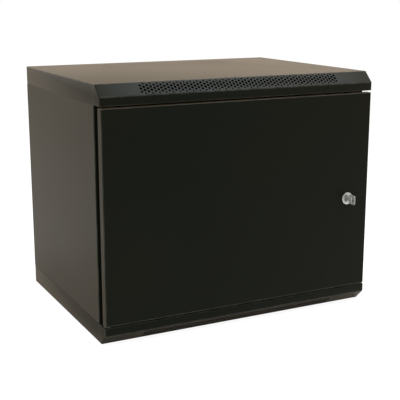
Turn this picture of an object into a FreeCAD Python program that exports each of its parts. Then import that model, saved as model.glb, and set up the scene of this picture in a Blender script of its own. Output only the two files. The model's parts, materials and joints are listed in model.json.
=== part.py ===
import FreeCAD, Part
import os
import re
import Sketcher

# Wall mount network cabinet, nine rack units high, in folded sheet steel.
# The frame: +Z is up, the door faces -Y, and the wall plane is Y = 0.
# The origin is the centre of the four wall slots, at the middle of the back panel.
# Roof and floor are the same tray, one turned over, so most pieces mirror about Z = 0.

SIZES = {
    # overall
    "cabinet_width": 600.0,
    "cabinet_depth": 450.0,
    "cabinet_height": 497.0,
    # roof and floor trays
    "tray_height": 38.7,
    "bevel_run": 21.5,
    "tray_sheet": 1.2,
    "bend_radius": 1.8,
    "side_lip": 20.0,
    "front_lip": 28.0,
    "rear_lip": 20.0,
    # ventilation holes in both bevels
    "vent_pitch": 13.83,
    "vent_columns": 32,
    "vent_row_step": 3.65,
    "vent_radius": 2.6,
    # blank over the cable entry
    "entry_width": 284.0,
    "entry_depth": 48.0,
    "entry_from_wall": 59.0,
    "entry_slit": 1.0,
    "entry_margin": 9.0,
    # side panels and back panel
    "side_sheet": 1.2,
    "side_setback": 30.0,
    "side_return": 20.0,
    "back_sheet": 1.5,
    "back_return": 20.0,
    "corner_relief": 2.0,
    "wall_slot_width": 9.0,
    "wall_slot_length": 20.0,
    "wall_slot_spacing": 450.0,
    "wall_slot_rise": 320.0,
    # depth beams that carry the rack rails
    "beam_sheet": 1.5,
    "beam_leg": 58.0,
    "beam_drop": 16.0,
    "beam_front_gap": 10.0,
    "beam_rear_gap": 20.0,
    "seat_gap": 0.2,
    # rack rails
    "rail_sheet": 2.0,
    "rail_side_room": 75.0,
    "rail_flange": 19.0,
    "rail_web": 45.0,
    "rail_foot": 36.0,
    "rail_foot_setback": 6.0,
    "rail_setback": 60.0,
    "rail_travel": 180.0,
    "rack_hole": 9.5,
    "rack_hole_inset": 7.55,
    "rack_unit": 44.45,
    "rack_unit_step": 15.875,
    # fasteners
    "bolt_shank": 3.0,
    "bolt_hole": 6.4,
    "bolt_head_radius": 5.77,
    "bolt_head_height": 3.0,
    "nut_height": 4.0,
    "thread_gap": 0.05,
    "shank_spare": 1.0,
    "frame_bolt_inset": 11.0,
    "frame_bolt_front": 55.0,
    "frame_bolt_rear": 60.0,
    "back_bolt_spread": 200.0,
    "rail_bolt_inset": 38.0,
    "rail_bolt_behind": 25.0,
    # door
    "door_side_gap": 2.0,
    "door_top_gap": 3.8,
    "door_bottom_gap": 2.4,
    "door_depth": 18.2,
    "door_proud": 1.8,
    "door_sheet": 1.2,
    "door_lip": 12.0,
    "stiffener_width": 40.0,
    "stiffener_flange": 12.0,
    "stiffener_depth": 12.0,
    # hinge
    "hinge_inset": 9.0,
    "hinge_pin": 3.0,
    "hinge_gap": 0.05,
    "hinge_reach": 4.0,
    "bracket_sheet": 1.5,
    "bracket_top_drop": 7.0,
    "bracket_height": 28.0,
    "bracket_width": 12.0,
    "bracket_ear": 14.0,
    "collar_radius": 4.0,
    "collar_height": 1.5,
    "spring_length": 14.5,
    "pin_foot": 6.0,
    "pull_arm": 20.0,
    "pull_arm_bar": 4.5,
    "running_gap": 0.3,
    "pin_plate_length": 26.0,
    "pin_plate_sheet": 2.0,
    "pin_head_radius": 5.0,
    "pin_head_height": 2.0,
    "washer_radius": 7.0,
    "washer_gap": 0.1,
    # lock
    "lock_from_right": 53.0,
    "lock_below_middle": 14.0,
    "lock_flange_radius": 13.0,
    "lock_flange_height": 2.4,
    "lock_flange_round": 1.1,
    "lock_barrel_radius": 9.3,
    "lock_barrel_tail": 1.2,
    "plug_radius": 6.0,
    "plug_face": 0.6,
    "plug_tail": 7.0,
    "lock_nut_height": 4.0,
    "lock_nut_radius": 14.0,
    "cam_sheet": 2.5,
    "cam_width": 16.0,
    "cam_reach": 41.0,
    "cam_corner": 4.0,
    "cam_screw_radius": 2.0,
    "cam_screw_reach": 2.5,
    "cam_screw_hole": 6.0,
    "cam_head_radius": 5.0,
    "cam_head_height": 2.5,
    "key_sheet": 2.0,
    "key_blade_height": 8.0,
    "key_blade_length": 24.0,
    "key_neck": 5.0,
    "key_blade_sunk": 3.0,
    "key_bow": 19.0,
    "key_bow_corner": 3.0,
    "key_bow_rim": 5.0,
    "key_ring_width": 7.5,
    "key_ring_height": 11.2,
    # rubber door buffers
    "buffer_width": 8.0,
    "buffer_height": 20.0,
    "buffer_spacing": 300.0,
    # earth studs
    "earth_stud_length": 15.0,
    "earth_stud_inset": 55.0,
}

doc = FreeCAD.newDocument("wall_network_cabinet")
sheet = doc.addObject("Spreadsheet::Sheet", "Sizes")
for row, (word, value) in enumerate(SIZES.items(), 1):
    sheet.set("A%d" % row, word)
    sheet.set("B%d" % row, str(value))
    sheet.setAlias("B%d" % row, word)
doc.recompute()

pieces = []

# Places that several pieces share, as expressions on the sheet.
HALF_WIDTH = "cabinet_width/2"
SEAM = "(cabinet_height/2 - tray_height)"
INNER_SIDE = "(cabinet_width/2 - side_sheet)"
BEAM_TOP = "(cabinet_height/2 - tray_height - side_sheet)"
BEAM_UNDER = "(cabinet_height/2 - tray_height - side_sheet - beam_sheet)"
RAIL_END = "(cabinet_height/2 - tray_height - side_sheet - beam_sheet - seat_gap)"
RAIL_FRONT = "(-cabinet_depth + rail_setback)"
# The opening between the rails is 450 mm in a 600 mm cabinet, and holds as many
# whole rack units as the rails are high.
RACK_EDGE = "(cabinet_width/2 - rail_side_room)"
RACK_UNITS = "floor(2*%s/rack_unit)" % RAIL_END
FRAME_BOLT_X = "(cabinet_width/2 - frame_bolt_inset)"
FRAME_BOLT_YS = ("(-cabinet_depth + frame_bolt_front)", "(-frame_bolt_rear)")
RAIL_BOLT_X = "(cabinet_width/2 - rail_bolt_inset)"
RAIL_BOLT_Y = "(-cabinet_depth + rail_setback + rail_bolt_behind)"
DOOR_HALF = "(cabinet_width/2 - door_side_gap)"
DOOR_TOP = "(cabinet_height/2 - tray_height - door_top_gap)"
DOOR_BOTTOM = "(-cabinet_height/2 + tray_height + door_bottom_gap)"
DOOR_FRONT = "(cabinet_depth + door_proud)"
DOOR_REAR = "(cabinet_depth + door_proud - door_depth)"
HINGE_X = "(-cabinet_width/2 + hinge_inset)"
HINGE_Y = "(-cabinet_depth + hinge_inset)"
LOCK_X = "(cabinet_width/2 - lock_from_right)"
LOCK_Z = "(-lock_below_middle)"
# The cam turns just behind the right side panel's front return.
CAM_FRONT = "(-cabinet_depth + side_setback + side_sheet + lock_barrel_tail)"

# Small shanks and round bolt heads are many-sided, to keep their faces few.
SHANK_SIDES = 8
ROUND_HEAD_SIDES = 12


def on_sheet(text):
    """An expression in the words of the sheet, as the document wants it."""
    return re.sub(r"[a-z_]+", lambda word: "Sizes." + word.group()
                  if word.group() in SIZES else word.group(), text)


def bind(thing, prop, text):
    thing.setExpression(prop, on_sheet(text))


def mirrored(sign, text):
    """The same place above (sign 1) or below (sign -1), right or left, of the middle."""
    return "(%d)*(%s)" % (sign, text)


def new_body(name):
    body = doc.addObject("PartDesign::Body", name)
    body.Label = name
    pieces.append(body)
    return body


def new_sketch(body, name, role, offset="0", loops=(), circles=()):
    """A sketch on one of the body's origin planes. Each corner and centre is a pair of expressions."""
    sketch = body.newObject("Sketcher::SketchObject", name)
    plane = next(item for item in body.Origin.OriginFeatures if item.Role == role)
    sketch.AttachmentSupport = (plane, [""])
    sketch.MapMode = "FlatFace"
    bind(sketch, "AttachmentOffset.Base.z", offset)
    for corners in loops:
        add_loop(sketch, corners)
    for across, up, radius in circles:
        add_circle(sketch, across, up, radius)
    return sketch


def pin_point(sketch, geometry, point, across, up, start):
    for kind, text, value in (("DistanceX", across, start.x), ("DistanceY", up, start.y)):
        constraint = Sketcher.Constraint(kind, -1, 1, geometry, point, value)
        number = sketch.addConstraint(constraint)
        bind(sketch, "Constraints[%d]" % number, text)


def add_loop(sketch, corners):
    """A closed outline of straight lines; it starts as a round polygon and its sizes pull it out."""
    count = len(corners)
    start = [FreeCAD.Rotation(FreeCAD.Vector(0, 0, 1), 360.0 * step / count)
             .multVec(FreeCAD.Vector(10, 3, 0)) for step in range(count)]
    lines = [sketch.addGeometry(Part.LineSegment(start[step], start[(step + 1) % count]), False)
             for step in range(count)]
    for step in range(count):
        after = lines[(step + 1) % count]
        sketch.addConstraint(Sketcher.Constraint("Coincident", lines[step], 2, after, 1))
    for step, (across, up) in enumerate(corners):
        pin_point(sketch, lines[step], 1, across, up, start[step])


def add_circle(sketch, across, up, radius):
    start = FreeCAD.Vector(5, 5, 0)
    circle = sketch.addGeometry(Part.Circle(start, FreeCAD.Vector(0, 0, 1), 1.0), False)
    pin_point(sketch, circle, 3, across, up, start)
    number = sketch.addConstraint(Sketcher.Constraint("Radius", circle, 1.0))
    bind(sketch, "Constraints[%d]" % number, radius)


def rectangle(left, right, low, high):
    return [(left, low), (right, low), (right, high), (left, high)]


def square_at(across, up, side):
    half = "(%s)/2" % side
    return rectangle("%s - %s" % (across, half), "%s + %s" % (across, half),
                     "%s - %s" % (up, half), "%s + %s" % (up, half))


def diamond_at(across, up, radius):
    return [("%s - %s" % (across, radius), up), (across, "%s - %s" % (up, radius)),
            ("%s + %s" % (across, radius), up), (across, "%s + %s" % (up, radius))]


def pad(body, name, sketch, length, reverse=False, middle=False):
    feature = body.newObject("PartDesign::Pad", name)
    feature.Profile = sketch
    feature.Midplane = middle
    feature.Reversed = reverse
    bind(feature, "Length", length)
    return feature


def pocket(body, name, sketch, length, reverse=False, middle=False):
    """A pocket that has to take something away."""
    doc.recompute()
    before = body.Shape.Volume
    feature = body.newObject("PartDesign::Pocket", name)
    feature.Profile = sketch
    feature.Midplane = middle
    feature.Reversed = reverse
    bind(feature, "Length", length)
    doc.recompute()
    if not body.Shape.Volume < before:
        raise RuntimeError("%s takes nothing from %s" % (name, body.Label))
    return feature


def bend(body, name, radius, keep):
    """Round the edges where the sheet is folded: keep(edge) says which ones."""
    doc.recompute()
    base = body.Tip
    names = ["Edge%d" % number for number, edge in enumerate(base.Shape.Edges, 1) if keep(edge)]
    if not names:
        raise RuntimeError("%s finds no edge on %s" % (name, body.Label))
    feature = body.newObject("PartDesign::Fillet", name)
    feature.Base = (base, names)
    bind(feature, "Radius", radius)
    doc.recompute()
    return feature


def runs_along(edge, axis):
    """True for a straight edge parallel to X, Y or Z."""
    box = edge.BoundBox
    spans = {"X": box.XLength, "Y": box.YLength, "Z": box.ZLength}
    along = spans.pop(axis)
    return along > 1.0 and max(spans.values()) < 0.001


def near(value, target):
    return abs(value - target) < 0.01


def make_tray(name, sign):
    """Roof tray (sign 1) or floor tray (sign -1): flat top, perforated bevel, fascia and lips."""
    body = new_body(name)
    top = mirrored(sign, "cabinet_height/2")
    seam = mirrored(sign, SEAM)
    outline = [("-cabinet_depth + bevel_run", top), ("0", top), ("0", seam),
               ("-cabinet_depth", seam),
               ("-cabinet_depth", mirrored(sign, "cabinet_height/2 - bevel_run"))]
    pad(body, "folded_block", new_sketch(body, "side_outline", "YZ_Plane", loops=[outline]),
        "cabinet_width", middle=True)
    bend(body, "folds", "bend_radius",
         lambda edge: runs_along(edge, "X") or runs_along(edge, "Y"))

    # The hollow leaves one thickness of sheet all round.
    mitre = "tray_sheet*(sqrt(2) - 1)"
    under_top = mirrored(sign, "cabinet_height/2 - tray_sheet")
    over_lip = mirrored(sign, SEAM + " + tray_sheet")
    hollow = [("-cabinet_depth + bevel_run + " + mitre, under_top), ("-tray_sheet", under_top),
              ("-tray_sheet", over_lip), ("-cabinet_depth + tray_sheet", over_lip),
              ("-cabinet_depth + tray_sheet",
               mirrored(sign, "cabinet_height/2 - bevel_run - " + mitre))]
    pocket(body, "hollow", new_sketch(body, "hollow_outline", "YZ_Plane", loops=[hollow]),
           "cabinet_width - 2*tray_sheet", middle=True)

    inner = HALF_WIDTH + " - side_lip"
    mouth = rectangle("-(%s)" % inner, inner, "-cabinet_depth + front_lip", "-rear_lip")
    pocket(body, "mouth", new_sketch(body, "mouth_outline", "XY_Plane", seam, [mouth]),
           "2*tray_sheet", reverse=sign > 0)

    bolts = [square_at(mirrored(side, FRAME_BOLT_X), along, "bolt_hole")
             for side in (-1, 1) for along in FRAME_BOLT_YS]
    bolts += [square_at(mirrored(side, "back_bolt_spread"), "-back_return/2", "bolt_hole")
              for side in (-1, 1)]
    pocket(body, "bolt_holes", new_sketch(body, "bolt_hole_squares", "XY_Plane", seam, bolts),
           "2*tray_sheet", reverse=sign > 0)

    hinge = [(HINGE_X, HINGE_Y, "hinge_pin + hinge_gap")]
    pocket(body, "hinge_hole", new_sketch(body, "hinge_circle", "XY_Plane", seam, circles=hinge),
           "2*tray_sheet", reverse=sign > 0)

    entry = rectangle("-entry_width/2", "entry_width/2",
                      "-entry_from_wall - entry_depth", "-entry_from_wall")
    pocket(body, "cable_entry", new_sketch(body, "entry_outline", "XY_Plane", top, [entry]),
           "2*tray_sheet", reverse=sign < 0)

    # Staggered columns of holes, square to the bevel: one in the middle, then a pair, in turn.
    first = "-vent_pitch*(vent_columns - 1)/2"
    second = first + " + vent_pitch/2"
    odd = [diamond_at(first, "0", "vent_radius")]
    even = [diamond_at(second, "vent_row_step", "vent_radius"),
            diamond_at(second, "-vent_row_step", "vent_radius")]
    for column, loops, fewer in (("odd", odd, 0), ("even", even, 1)):
        sketch = new_sketch(body, column + "_vent_column", "XY_Plane", "0", loops)
        turn = 45.0 if sign > 0 else 135.0
        sketch.AttachmentOffset = FreeCAD.Placement(
            FreeCAD.Vector(0, 0, 0), FreeCAD.Rotation(FreeCAD.Vector(1, 0, 0), turn))
        bind(sketch, "AttachmentOffset.Base.y", "-cabinet_depth + bevel_run/2")
        bind(sketch, "AttachmentOffset.Base.z",
             mirrored(sign, "cabinet_height/2 - bevel_run/2"))
        cut = pocket(body, column + "_vents", sketch, "2*tray_sheet")
        row = body.newObject("PartDesign::LinearPattern", column + "_vent_row")
        row.Originals = [cut]
        row.Direction = (sketch, ["H_Axis"])
        bind(row, "Occurrences", "vent_columns - %d" % fewer)
        bind(row, "Length", "vent_pitch*(vent_columns - %d)" % (fewer + 1))
        body.Tip = row
        doc.recompute()
    return body


def make_entry_blank(name, sign):
    """Pressed blank: its raised middle fills the cable entry, its margin lies under the sheet."""
    body = new_body(name)
    face = mirrored(sign, "cabinet_height/2 - tray_sheet")
    rear = "-entry_from_wall"
    front = "-entry_from_wall - entry_depth"
    margin = rectangle("-entry_width/2 - entry_margin", "entry_width/2 + entry_margin",
                       front + " - entry_margin", rear + " + entry_margin")
    pad(body, "margin", new_sketch(body, "margin_outline", "XY_Plane", face, [margin]),
        "tray_sheet", reverse=sign > 0)
    raised = rectangle("-entry_width/2 + entry_slit", "entry_width/2 - entry_slit",
                       front + " + entry_slit", rear + " - entry_slit")
    pad(body, "raised_middle", new_sketch(body, "raised_outline", "XY_Plane", face, [raised]),
        "tray_sheet", reverse=sign < 0)
    return body


def make_side_panel(name, side):
    """Side panel: flat skin with returns at the front, rear, top and bottom."""
    body = new_body(name)
    outer = mirrored(side, HALF_WIDTH)
    inner = mirrored(side, INNER_SIDE)
    edge = mirrored(side, HALF_WIDTH + " - side_return")
    front = "-cabinet_depth + side_setback"
    rear = "-back_sheet"
    channel = [(outer, front), (edge, front), (edge, front + " + side_sheet"),
               (inner, front + " + side_sheet"), (inner, rear + " - side_sheet"),
               (edge, rear + " - side_sheet"), (edge, rear), (outer, rear)]
    pad(body, "channel", new_sketch(body, "channel_outline", "XY_Plane", loops=[channel]),
        "2*" + SEAM, middle=True)
    for level, sign in (("top", 1), ("bottom", -1)):
        lip = rectangle(inner, edge, front + " + side_sheet/2", rear + " - side_sheet/2")
        pad(body, level + "_return",
            new_sketch(body, level + "_return_outline", "XY_Plane", mirrored(sign, SEAM), [lip]),
            "side_sheet", reverse=sign > 0)
    half = SIZES["cabinet_width"] / 2
    bend(body, "folds", "bend_radius",
         lambda item: near(abs(item.BoundBox.XMin), half) and near(abs(item.BoundBox.XMax), half)
         and (runs_along(item, "Z") or runs_along(item, "Y")))
    bolts = [square_at(mirrored(side, FRAME_BOLT_X), along, "bolt_hole")
             for along in FRAME_BOLT_YS]
    for level, sign in (("top", 1), ("bottom", -1)):
        pocket(body, level + "_bolt_holes",
               new_sketch(body, level + "_bolt_squares", "XY_Plane", mirrored(sign, SEAM), bolts),
               "2*side_sheet", reverse=sign < 0)
    return body


def make_back_panel():
    """Back panel with four wall slots; its top and bottom returns bolt to the trays' rear lips."""
    body = new_body("back_panel")
    skin = rectangle("-" + HALF_WIDTH, HALF_WIDTH, "-" + SEAM, SEAM)
    pad(body, "skin", new_sketch(body, "skin_outline", "XZ_Plane", "0", [skin]), "back_sheet")
    inner = HALF_WIDTH + " - side_return - corner_relief"
    for level, sign in (("top", 1), ("bottom", -1)):
        lip = rectangle("-(%s)" % inner, inner, "-back_return", "-back_sheet/2")
        pad(body, level + "_return",
            new_sketch(body, level + "_return_outline", "XY_Plane", mirrored(sign, SEAM), [lip]),
            "back_sheet", reverse=sign > 0)
        bolts = [square_at(mirrored(side, "back_bolt_spread"), "-back_return/2", "bolt_hole")
                 for side in (-1, 1)]
        pocket(body, level + "_bolt_holes",
               new_sketch(body, level + "_bolt_squares", "XY_Plane", mirrored(sign, SEAM), bolts),
               "2*back_sheet", reverse=sign < 0)
    ends, middles = [], []
    run = "(wall_slot_length - wall_slot_width)/2"
    for side in (-1, 1):
        for sign in (-1, 1):
            across = mirrored(side, "wall_slot_spacing/2")
            up = mirrored(sign, "wall_slot_rise/2")
            ends += [("%s - %s" % (across, run), up, "wall_slot_width/2"),
                     ("%s + %s" % (across, run), up, "wall_slot_width/2")]
            middles.append(rectangle("%s - %s" % (across, run), "%s + %s" % (across, run),
                                     up + " - wall_slot_width/2", up + " + wall_slot_width/2"))
    pocket(body, "slot_ends", new_sketch(body, "slot_circles", "XZ_Plane", "0", circles=ends),
           "2*back_sheet", reverse=True)
    pocket(body, "slot_middles", new_sketch(body, "slot_boxes", "XZ_Plane", "0", middles),
           "2*back_sheet", reverse=True)
    return body


def make_beam(name, side, sign):
    """Depth beam: an angle under the side panel's return, with a long slot for the rail bolts."""
    body = new_body(name)
    outer = mirrored(side, INNER_SIDE + " - seat_gap")
    leg_end = mirrored(side, INNER_SIDE + " - seat_gap - beam_leg")
    inner = mirrored(side, INNER_SIDE + " - seat_gap - beam_sheet")
    top = mirrored(sign, BEAM_TOP)
    under = mirrored(sign, BEAM_UNDER)
    foot = mirrored(sign, BEAM_TOP + " - beam_drop")
    angle = [(outer, top), (leg_end, top), (leg_end, under), (inner, under), (inner, foot),
             (outer, foot)]
    front = "cabinet_depth - side_setback - side_sheet - beam_front_gap"
    pad(body, "angle", new_sketch(body, "angle_outline", "XZ_Plane", "beam_rear_gap", [angle]),
        front + " - beam_rear_gap")
    half = SIZES["cabinet_width"] / 2 - SIZES["side_sheet"] - SIZES["seat_gap"]
    level = SIZES["cabinet_height"] / 2 - SIZES["tray_height"] - SIZES["side_sheet"]
    bend(body, "fold", "bend_radius",
         lambda item: runs_along(item, "Y") and near(abs(item.BoundBox.XMin), half)
         and near(abs(item.BoundBox.ZMin), level))
    holes = [square_at(mirrored(side, FRAME_BOLT_X), along, "bolt_hole")
             for along in FRAME_BOLT_YS]
    slot_x = mirrored(side, RAIL_BOLT_X)
    holes.append(rectangle(slot_x + " - bolt_hole/2", slot_x + " + bolt_hole/2",
                           RAIL_BOLT_Y + " - bolt_hole/2",
                           RAIL_BOLT_Y + " + rail_travel + bolt_hole/2"))
    pocket(body, "holes", new_sketch(body, "hole_outlines", "XY_Plane", top, holes),
           "2*beam_sheet", reverse=sign < 0)
    return body


def make_rail(name, side):
    """Rack rail: a folded angle with square holes at the rack pitch and a foot at each end."""
    body = new_body(name)
    near_x = mirrored(side, RACK_EDGE)
    far_x = mirrored(side, RACK_EDGE + " + rail_flange")
    web_x = mirrored(side, RACK_EDGE + " + rail_flange - rail_sheet")
    foot_x = mirrored(side, RACK_EDGE + " + rail_flange + rail_foot")
    back = RAIL_FRONT + " + rail_web"
    angle = [(near_x, RAIL_FRONT), (far_x, RAIL_FRONT), (far_x, back), (web_x, back),
             (web_x, RAIL_FRONT + " + rail_sheet"), (near_x, RAIL_FRONT + " + rail_sheet")]
    pad(body, "angle", new_sketch(body, "angle_outline", "XY_Plane", loops=[angle]),
        "2*" + RAIL_END, middle=True)
    corner = SIZES["cabinet_width"] / 2 - SIZES["rail_side_room"] + SIZES["rail_flange"]
    front = -SIZES["cabinet_depth"] + SIZES["rail_setback"]
    bend(body, "fold", "bend_radius + rail_sheet/2",
         lambda item: runs_along(item, "Z") and near(abs(item.BoundBox.XMin), corner)
         and near(item.BoundBox.YMin, front))
    for level, sign in (("top", 1), ("bottom", -1)):
        foot = rectangle(web_x, foot_x, RAIL_FRONT + " + rail_foot_setback", back)
        pad(body, level + "_foot",
            new_sketch(body, level + "_foot_outline", "XY_Plane", mirrored(sign, RAIL_END), [foot]),
            "rail_sheet", reverse=sign > 0)
        bolt = square_at(mirrored(side, RAIL_BOLT_X), RAIL_BOLT_Y, "bolt_hole")
        pocket(body, level + "_bolt_hole",
               new_sketch(body, level + "_bolt_square", "XY_Plane", mirrored(sign, RAIL_END),
                          [bolt]), "2*rail_sheet", reverse=sign < 0)
    across = mirrored(side, RACK_EDGE + " + rack_hole_inset")
    lowest = "(-%s*rack_unit/2)" % RACK_UNITS
    step = "(rack_unit - 2*rack_unit_step)/2"
    heights = (lowest + " + " + step, lowest + " + rack_unit/2", lowest + " + rack_unit - " + step)
    squares = [square_at(across, up, "rack_hole") for up in heights]
    sketch = new_sketch(body, "rack_unit_squares", "XZ_Plane",
                        "cabinet_depth - rail_setback", squares)
    unit = pocket(body, "rack_unit_holes", sketch, "2*rail_sheet")
    column = body.newObject("PartDesign::LinearPattern", "rack_holes")
    column.Originals = [unit]
    column.Direction = (sketch, ["V_Axis"])
    bind(column, "Occurrences", RACK_UNITS)
    bind(column, "Length", "rack_unit*(%s - 1)" % RACK_UNITS)
    body.Tip = column
    doc.recompute()
    return body


def make_door_panel():
    """Door panel: a folded pan with a return on each edge and a lip round its open back."""
    body = new_body("door_panel")
    outline = rectangle("-" + DOOR_HALF, DOOR_HALF, DOOR_BOTTOM, DOOR_TOP)
    pad(body, "pan_block", new_sketch(body, "pan_outline", "XZ_Plane", DOOR_REAR, [outline]),
        "door_depth")
    bend(body, "folds", "bend_radius",
         lambda edge: runs_along(edge, "X") or runs_along(edge, "Z"))
    inset = rectangle("-%s + door_sheet" % DOOR_HALF, DOOR_HALF + " - door_sheet",
                      DOOR_BOTTOM + " + door_sheet", DOOR_TOP + " - door_sheet")
    pocket(body, "hollow",
           new_sketch(body, "hollow_outline", "XZ_Plane", DOOR_REAR + " + door_sheet", [inset]),
           "door_depth - 2*door_sheet", reverse=True)
    mouth = rectangle("-%s + door_lip" % DOOR_HALF, DOOR_HALF + " - door_lip",
                      DOOR_BOTTOM + " + door_lip", DOOR_TOP + " - door_lip")
    pocket(body, "mouth", new_sketch(body, "mouth_outline", "XZ_Plane", DOOR_REAR, [mouth]),
           "2*door_sheet", reverse=True)
    lock = [(LOCK_X, LOCK_Z, "lock_barrel_radius + thread_gap")]
    pocket(body, "lock_hole",
           new_sketch(body, "lock_circle", "XZ_Plane", DOOR_FRONT, circles=lock),
           "2*door_sheet")
    pin = [(HINGE_X, HINGE_Y, "hinge_pin + hinge_gap")]
    pocket(body, "upper_pin_hole",
           new_sketch(body, "upper_pin_circle", "XY_Plane", DOOR_TOP, circles=pin),
           "2*door_sheet")
    pocket(body, "lower_pin_hole",
           new_sketch(body, "lower_pin_circle", "XY_Plane", DOOR_BOTTOM, circles=pin),
           "2*door_sheet", reverse=True)
    return body


def make_stiffener():
    """Hat section welded upright behind the middle of the door skin."""
    body = new_body("door_stiffener")
    skin = "(-%s + door_sheet)" % DOOR_FRONT
    half = "stiffener_width/2"
    hat = "(stiffener_width/2 - stiffener_flange)"
    crown = skin + " + stiffener_depth"
    outline = [("-" + half, skin), ("-" + hat + " + door_sheet", skin),
               ("-" + hat + " + door_sheet", crown + " - door_sheet"),
               (hat + " - door_sheet", crown + " - door_sheet"), (hat + " - door_sheet", skin),
               (half, skin), (half, skin + " + door_sheet"), (hat, skin + " + door_sheet"),
               (hat, crown), ("-" + hat, crown), ("-" + hat, skin + " + door_sheet"),
               ("-" + half, skin + " + door_sheet")]
    base = DOOR_BOTTOM + " + door_sheet + corner_relief"
    pad(body, "hat", new_sketch(body, "hat_outline", "XY_Plane", base, [outline]),
        "%s - %s - 2*door_sheet - 2*corner_relief" % (DOOR_TOP, DOOR_BOTTOM))
    return body


def make_upper_bracket():
    """C-shaped bracket on the door's left return; its two ears guide the spring pin."""
    body = new_body("upper_hinge_bracket")
    wall = "(-%s + door_sheet)" % DOOR_HALF
    top = "(%s - bracket_top_drop)" % DOOR_TOP
    low = "(%s - bracket_height)" % top
    outline = [(wall, low), (wall + " + bracket_ear", low),
               (wall + " + bracket_ear", low + " + bracket_sheet"),
               (wall + " + bracket_sheet", low + " + bracket_sheet"),
               (wall + " + bracket_sheet", top + " - bracket_sheet"),
               (wall + " + bracket_ear", top + " - bracket_sheet"),
               (wall + " + bracket_ear", top), (wall, top)]
    pad(body, "channel",
        new_sketch(body, "channel_outline", "XZ_Plane", "-%s - bracket_width/2" % HINGE_Y,
                   [outline]), "bracket_width")
    pin = [(HINGE_X, HINGE_Y, "hinge_pin + hinge_gap")]
    pocket(body, "pin_holes", new_sketch(body, "pin_circle", "XY_Plane", top, circles=pin),
           "bracket_height")
    return body


def make_turned(name, profile, axis_x, axis_y):
    """A piece turned about an upright line: profile gives (radius, height) corners."""
    body = new_body(name)
    place_turned(body, "turned", profile, axis_x, axis_y)
    return body


def place_turned(body, name, profile, axis_x, axis_y):
    sketch = new_sketch(body, name + "_profile", "XZ_Plane", "-(%s)" % axis_y,
                        [[("%s + %s" % (axis_x, radius), height) for radius, height in profile]])
    start = FreeCAD.Vector(2, 0, 0)
    line = sketch.addGeometry(Part.LineSegment(start, FreeCAD.Vector(2, 9, 0)), True)
    pin_point(sketch, line, 1, axis_x, "0", start)
    pin_point(sketch, line, 2, axis_x, "9", FreeCAD.Vector(2, 9, 0))
    turned = body.newObject("PartDesign::Revolution", name)
    turned.Profile = sketch
    turned.ReferenceAxis = (sketch, ["Axis0"])
    turned.Angle = 360.0
    return turned


def make_upper_pin():
    """Spring pin: it stands in the roof tray's lip and is pulled down by its side arm."""
    low_ear = "(%s - bracket_top_drop - bracket_height)" % DOOR_TOP
    collar = "(%s + bracket_sheet + spring_length)" % low_ear
    foot = "(%s - running_gap - pin_foot)" % low_ear
    tip = "(%s + tray_sheet + hinge_reach)" % SEAM
    profile = [("0", foot), ("hinge_pin", foot), ("hinge_pin", collar),
               ("collar_radius", collar), ("collar_radius", collar + " + collar_height"),
               ("hinge_pin", collar + " + collar_height"), ("hinge_pin", tip), ("0", tip)]
    body = make_turned("upper_hinge_pin", profile, HINGE_X, HINGE_Y)
    arm = square_at(HINGE_Y, foot + " + pin_foot/2", "pull_arm_bar")
    pad(body, "pull_arm", new_sketch(body, "arm_square", "YZ_Plane", HINGE_X, [arm]), "pull_arm")


def make_upper_spring():
    """Space of the coil spring that pushes the pin up, between the lower ear and the collar."""
    low = "(%s - bracket_top_drop - bracket_height + bracket_sheet)" % DOOR_TOP
    high = low + " + spring_length"
    inner = "hinge_pin + running_gap"
    profile = [(inner, low), ("collar_radius", low), ("collar_radius", high), (inner, high)]
    return make_turned("upper_hinge_spring", profile, HINGE_X, HINGE_Y)


def make_lower_hinge():
    """Riveted lower pin, the plate that stiffens the door's edge there, and its washer."""
    inside = "(%s + door_sheet)" % DOOR_BOTTOM
    plate = new_body("lower_hinge_plate")
    strip = rectangle("-%s + door_sheet" % DOOR_HALF,
                      "-%s + door_sheet + pin_plate_length" % DOOR_HALF,
                      HINGE_Y + " - bracket_width/2", HINGE_Y + " + bracket_width/2")
    pad(plate, "strip", new_sketch(plate, "strip_outline", "XY_Plane", inside, [strip]),
        "pin_plate_sheet")
    pin = [(HINGE_X, HINGE_Y, "hinge_pin + hinge_gap")]
    pocket(plate, "pin_hole", new_sketch(plate, "pin_circle", "XY_Plane", inside, circles=pin),
           "2*pin_plate_sheet", reverse=True)

    seat = inside + " + pin_plate_sheet"
    tip = "(-%s - tray_sheet - hinge_reach)" % SEAM
    profile = [("0", tip), ("hinge_pin", tip), ("hinge_pin", seat), ("pin_head_radius", seat),
               ("pin_head_radius", seat + " + pin_head_height"), ("0", seat + " + pin_head_height")]
    make_turned("lower_hinge_pin", profile, HINGE_X, HINGE_Y)

    hole = "hinge_pin + hinge_gap"
    low = "(-%s + washer_gap)" % SEAM
    profile = [(hole, low), ("washer_radius", low), ("washer_radius", DOOR_BOTTOM),
               (hole, DOOR_BOTTOM)]
    make_turned("lower_hinge_washer", profile, HINGE_X, HINGE_Y)


def turned_on_lock(name, profile):
    """A piece turned about the lock's axis: profile gives (radius, Y) corners."""
    body = new_body(name)
    sketch = new_sketch(body, "profile", "YZ_Plane", LOCK_X,
                        [[(place, LOCK_Z + " + " + radius) for radius, place in profile]])
    line = sketch.addGeometry(Part.LineSegment(FreeCAD.Vector(0, 2, 0), FreeCAD.Vector(9, 2, 0)),
                              True)
    pin_point(sketch, line, 1, "0", LOCK_Z, FreeCAD.Vector(0, 2, 0))
    pin_point(sketch, line, 2, "9", LOCK_Z, FreeCAD.Vector(9, 2, 0))
    turned = body.newObject("PartDesign::Revolution", "turned")
    turned.Profile = sketch
    turned.ReferenceAxis = (sketch, ["Axis0"])
    turned.Angle = 360.0
    doc.recompute()
    return body


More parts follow.
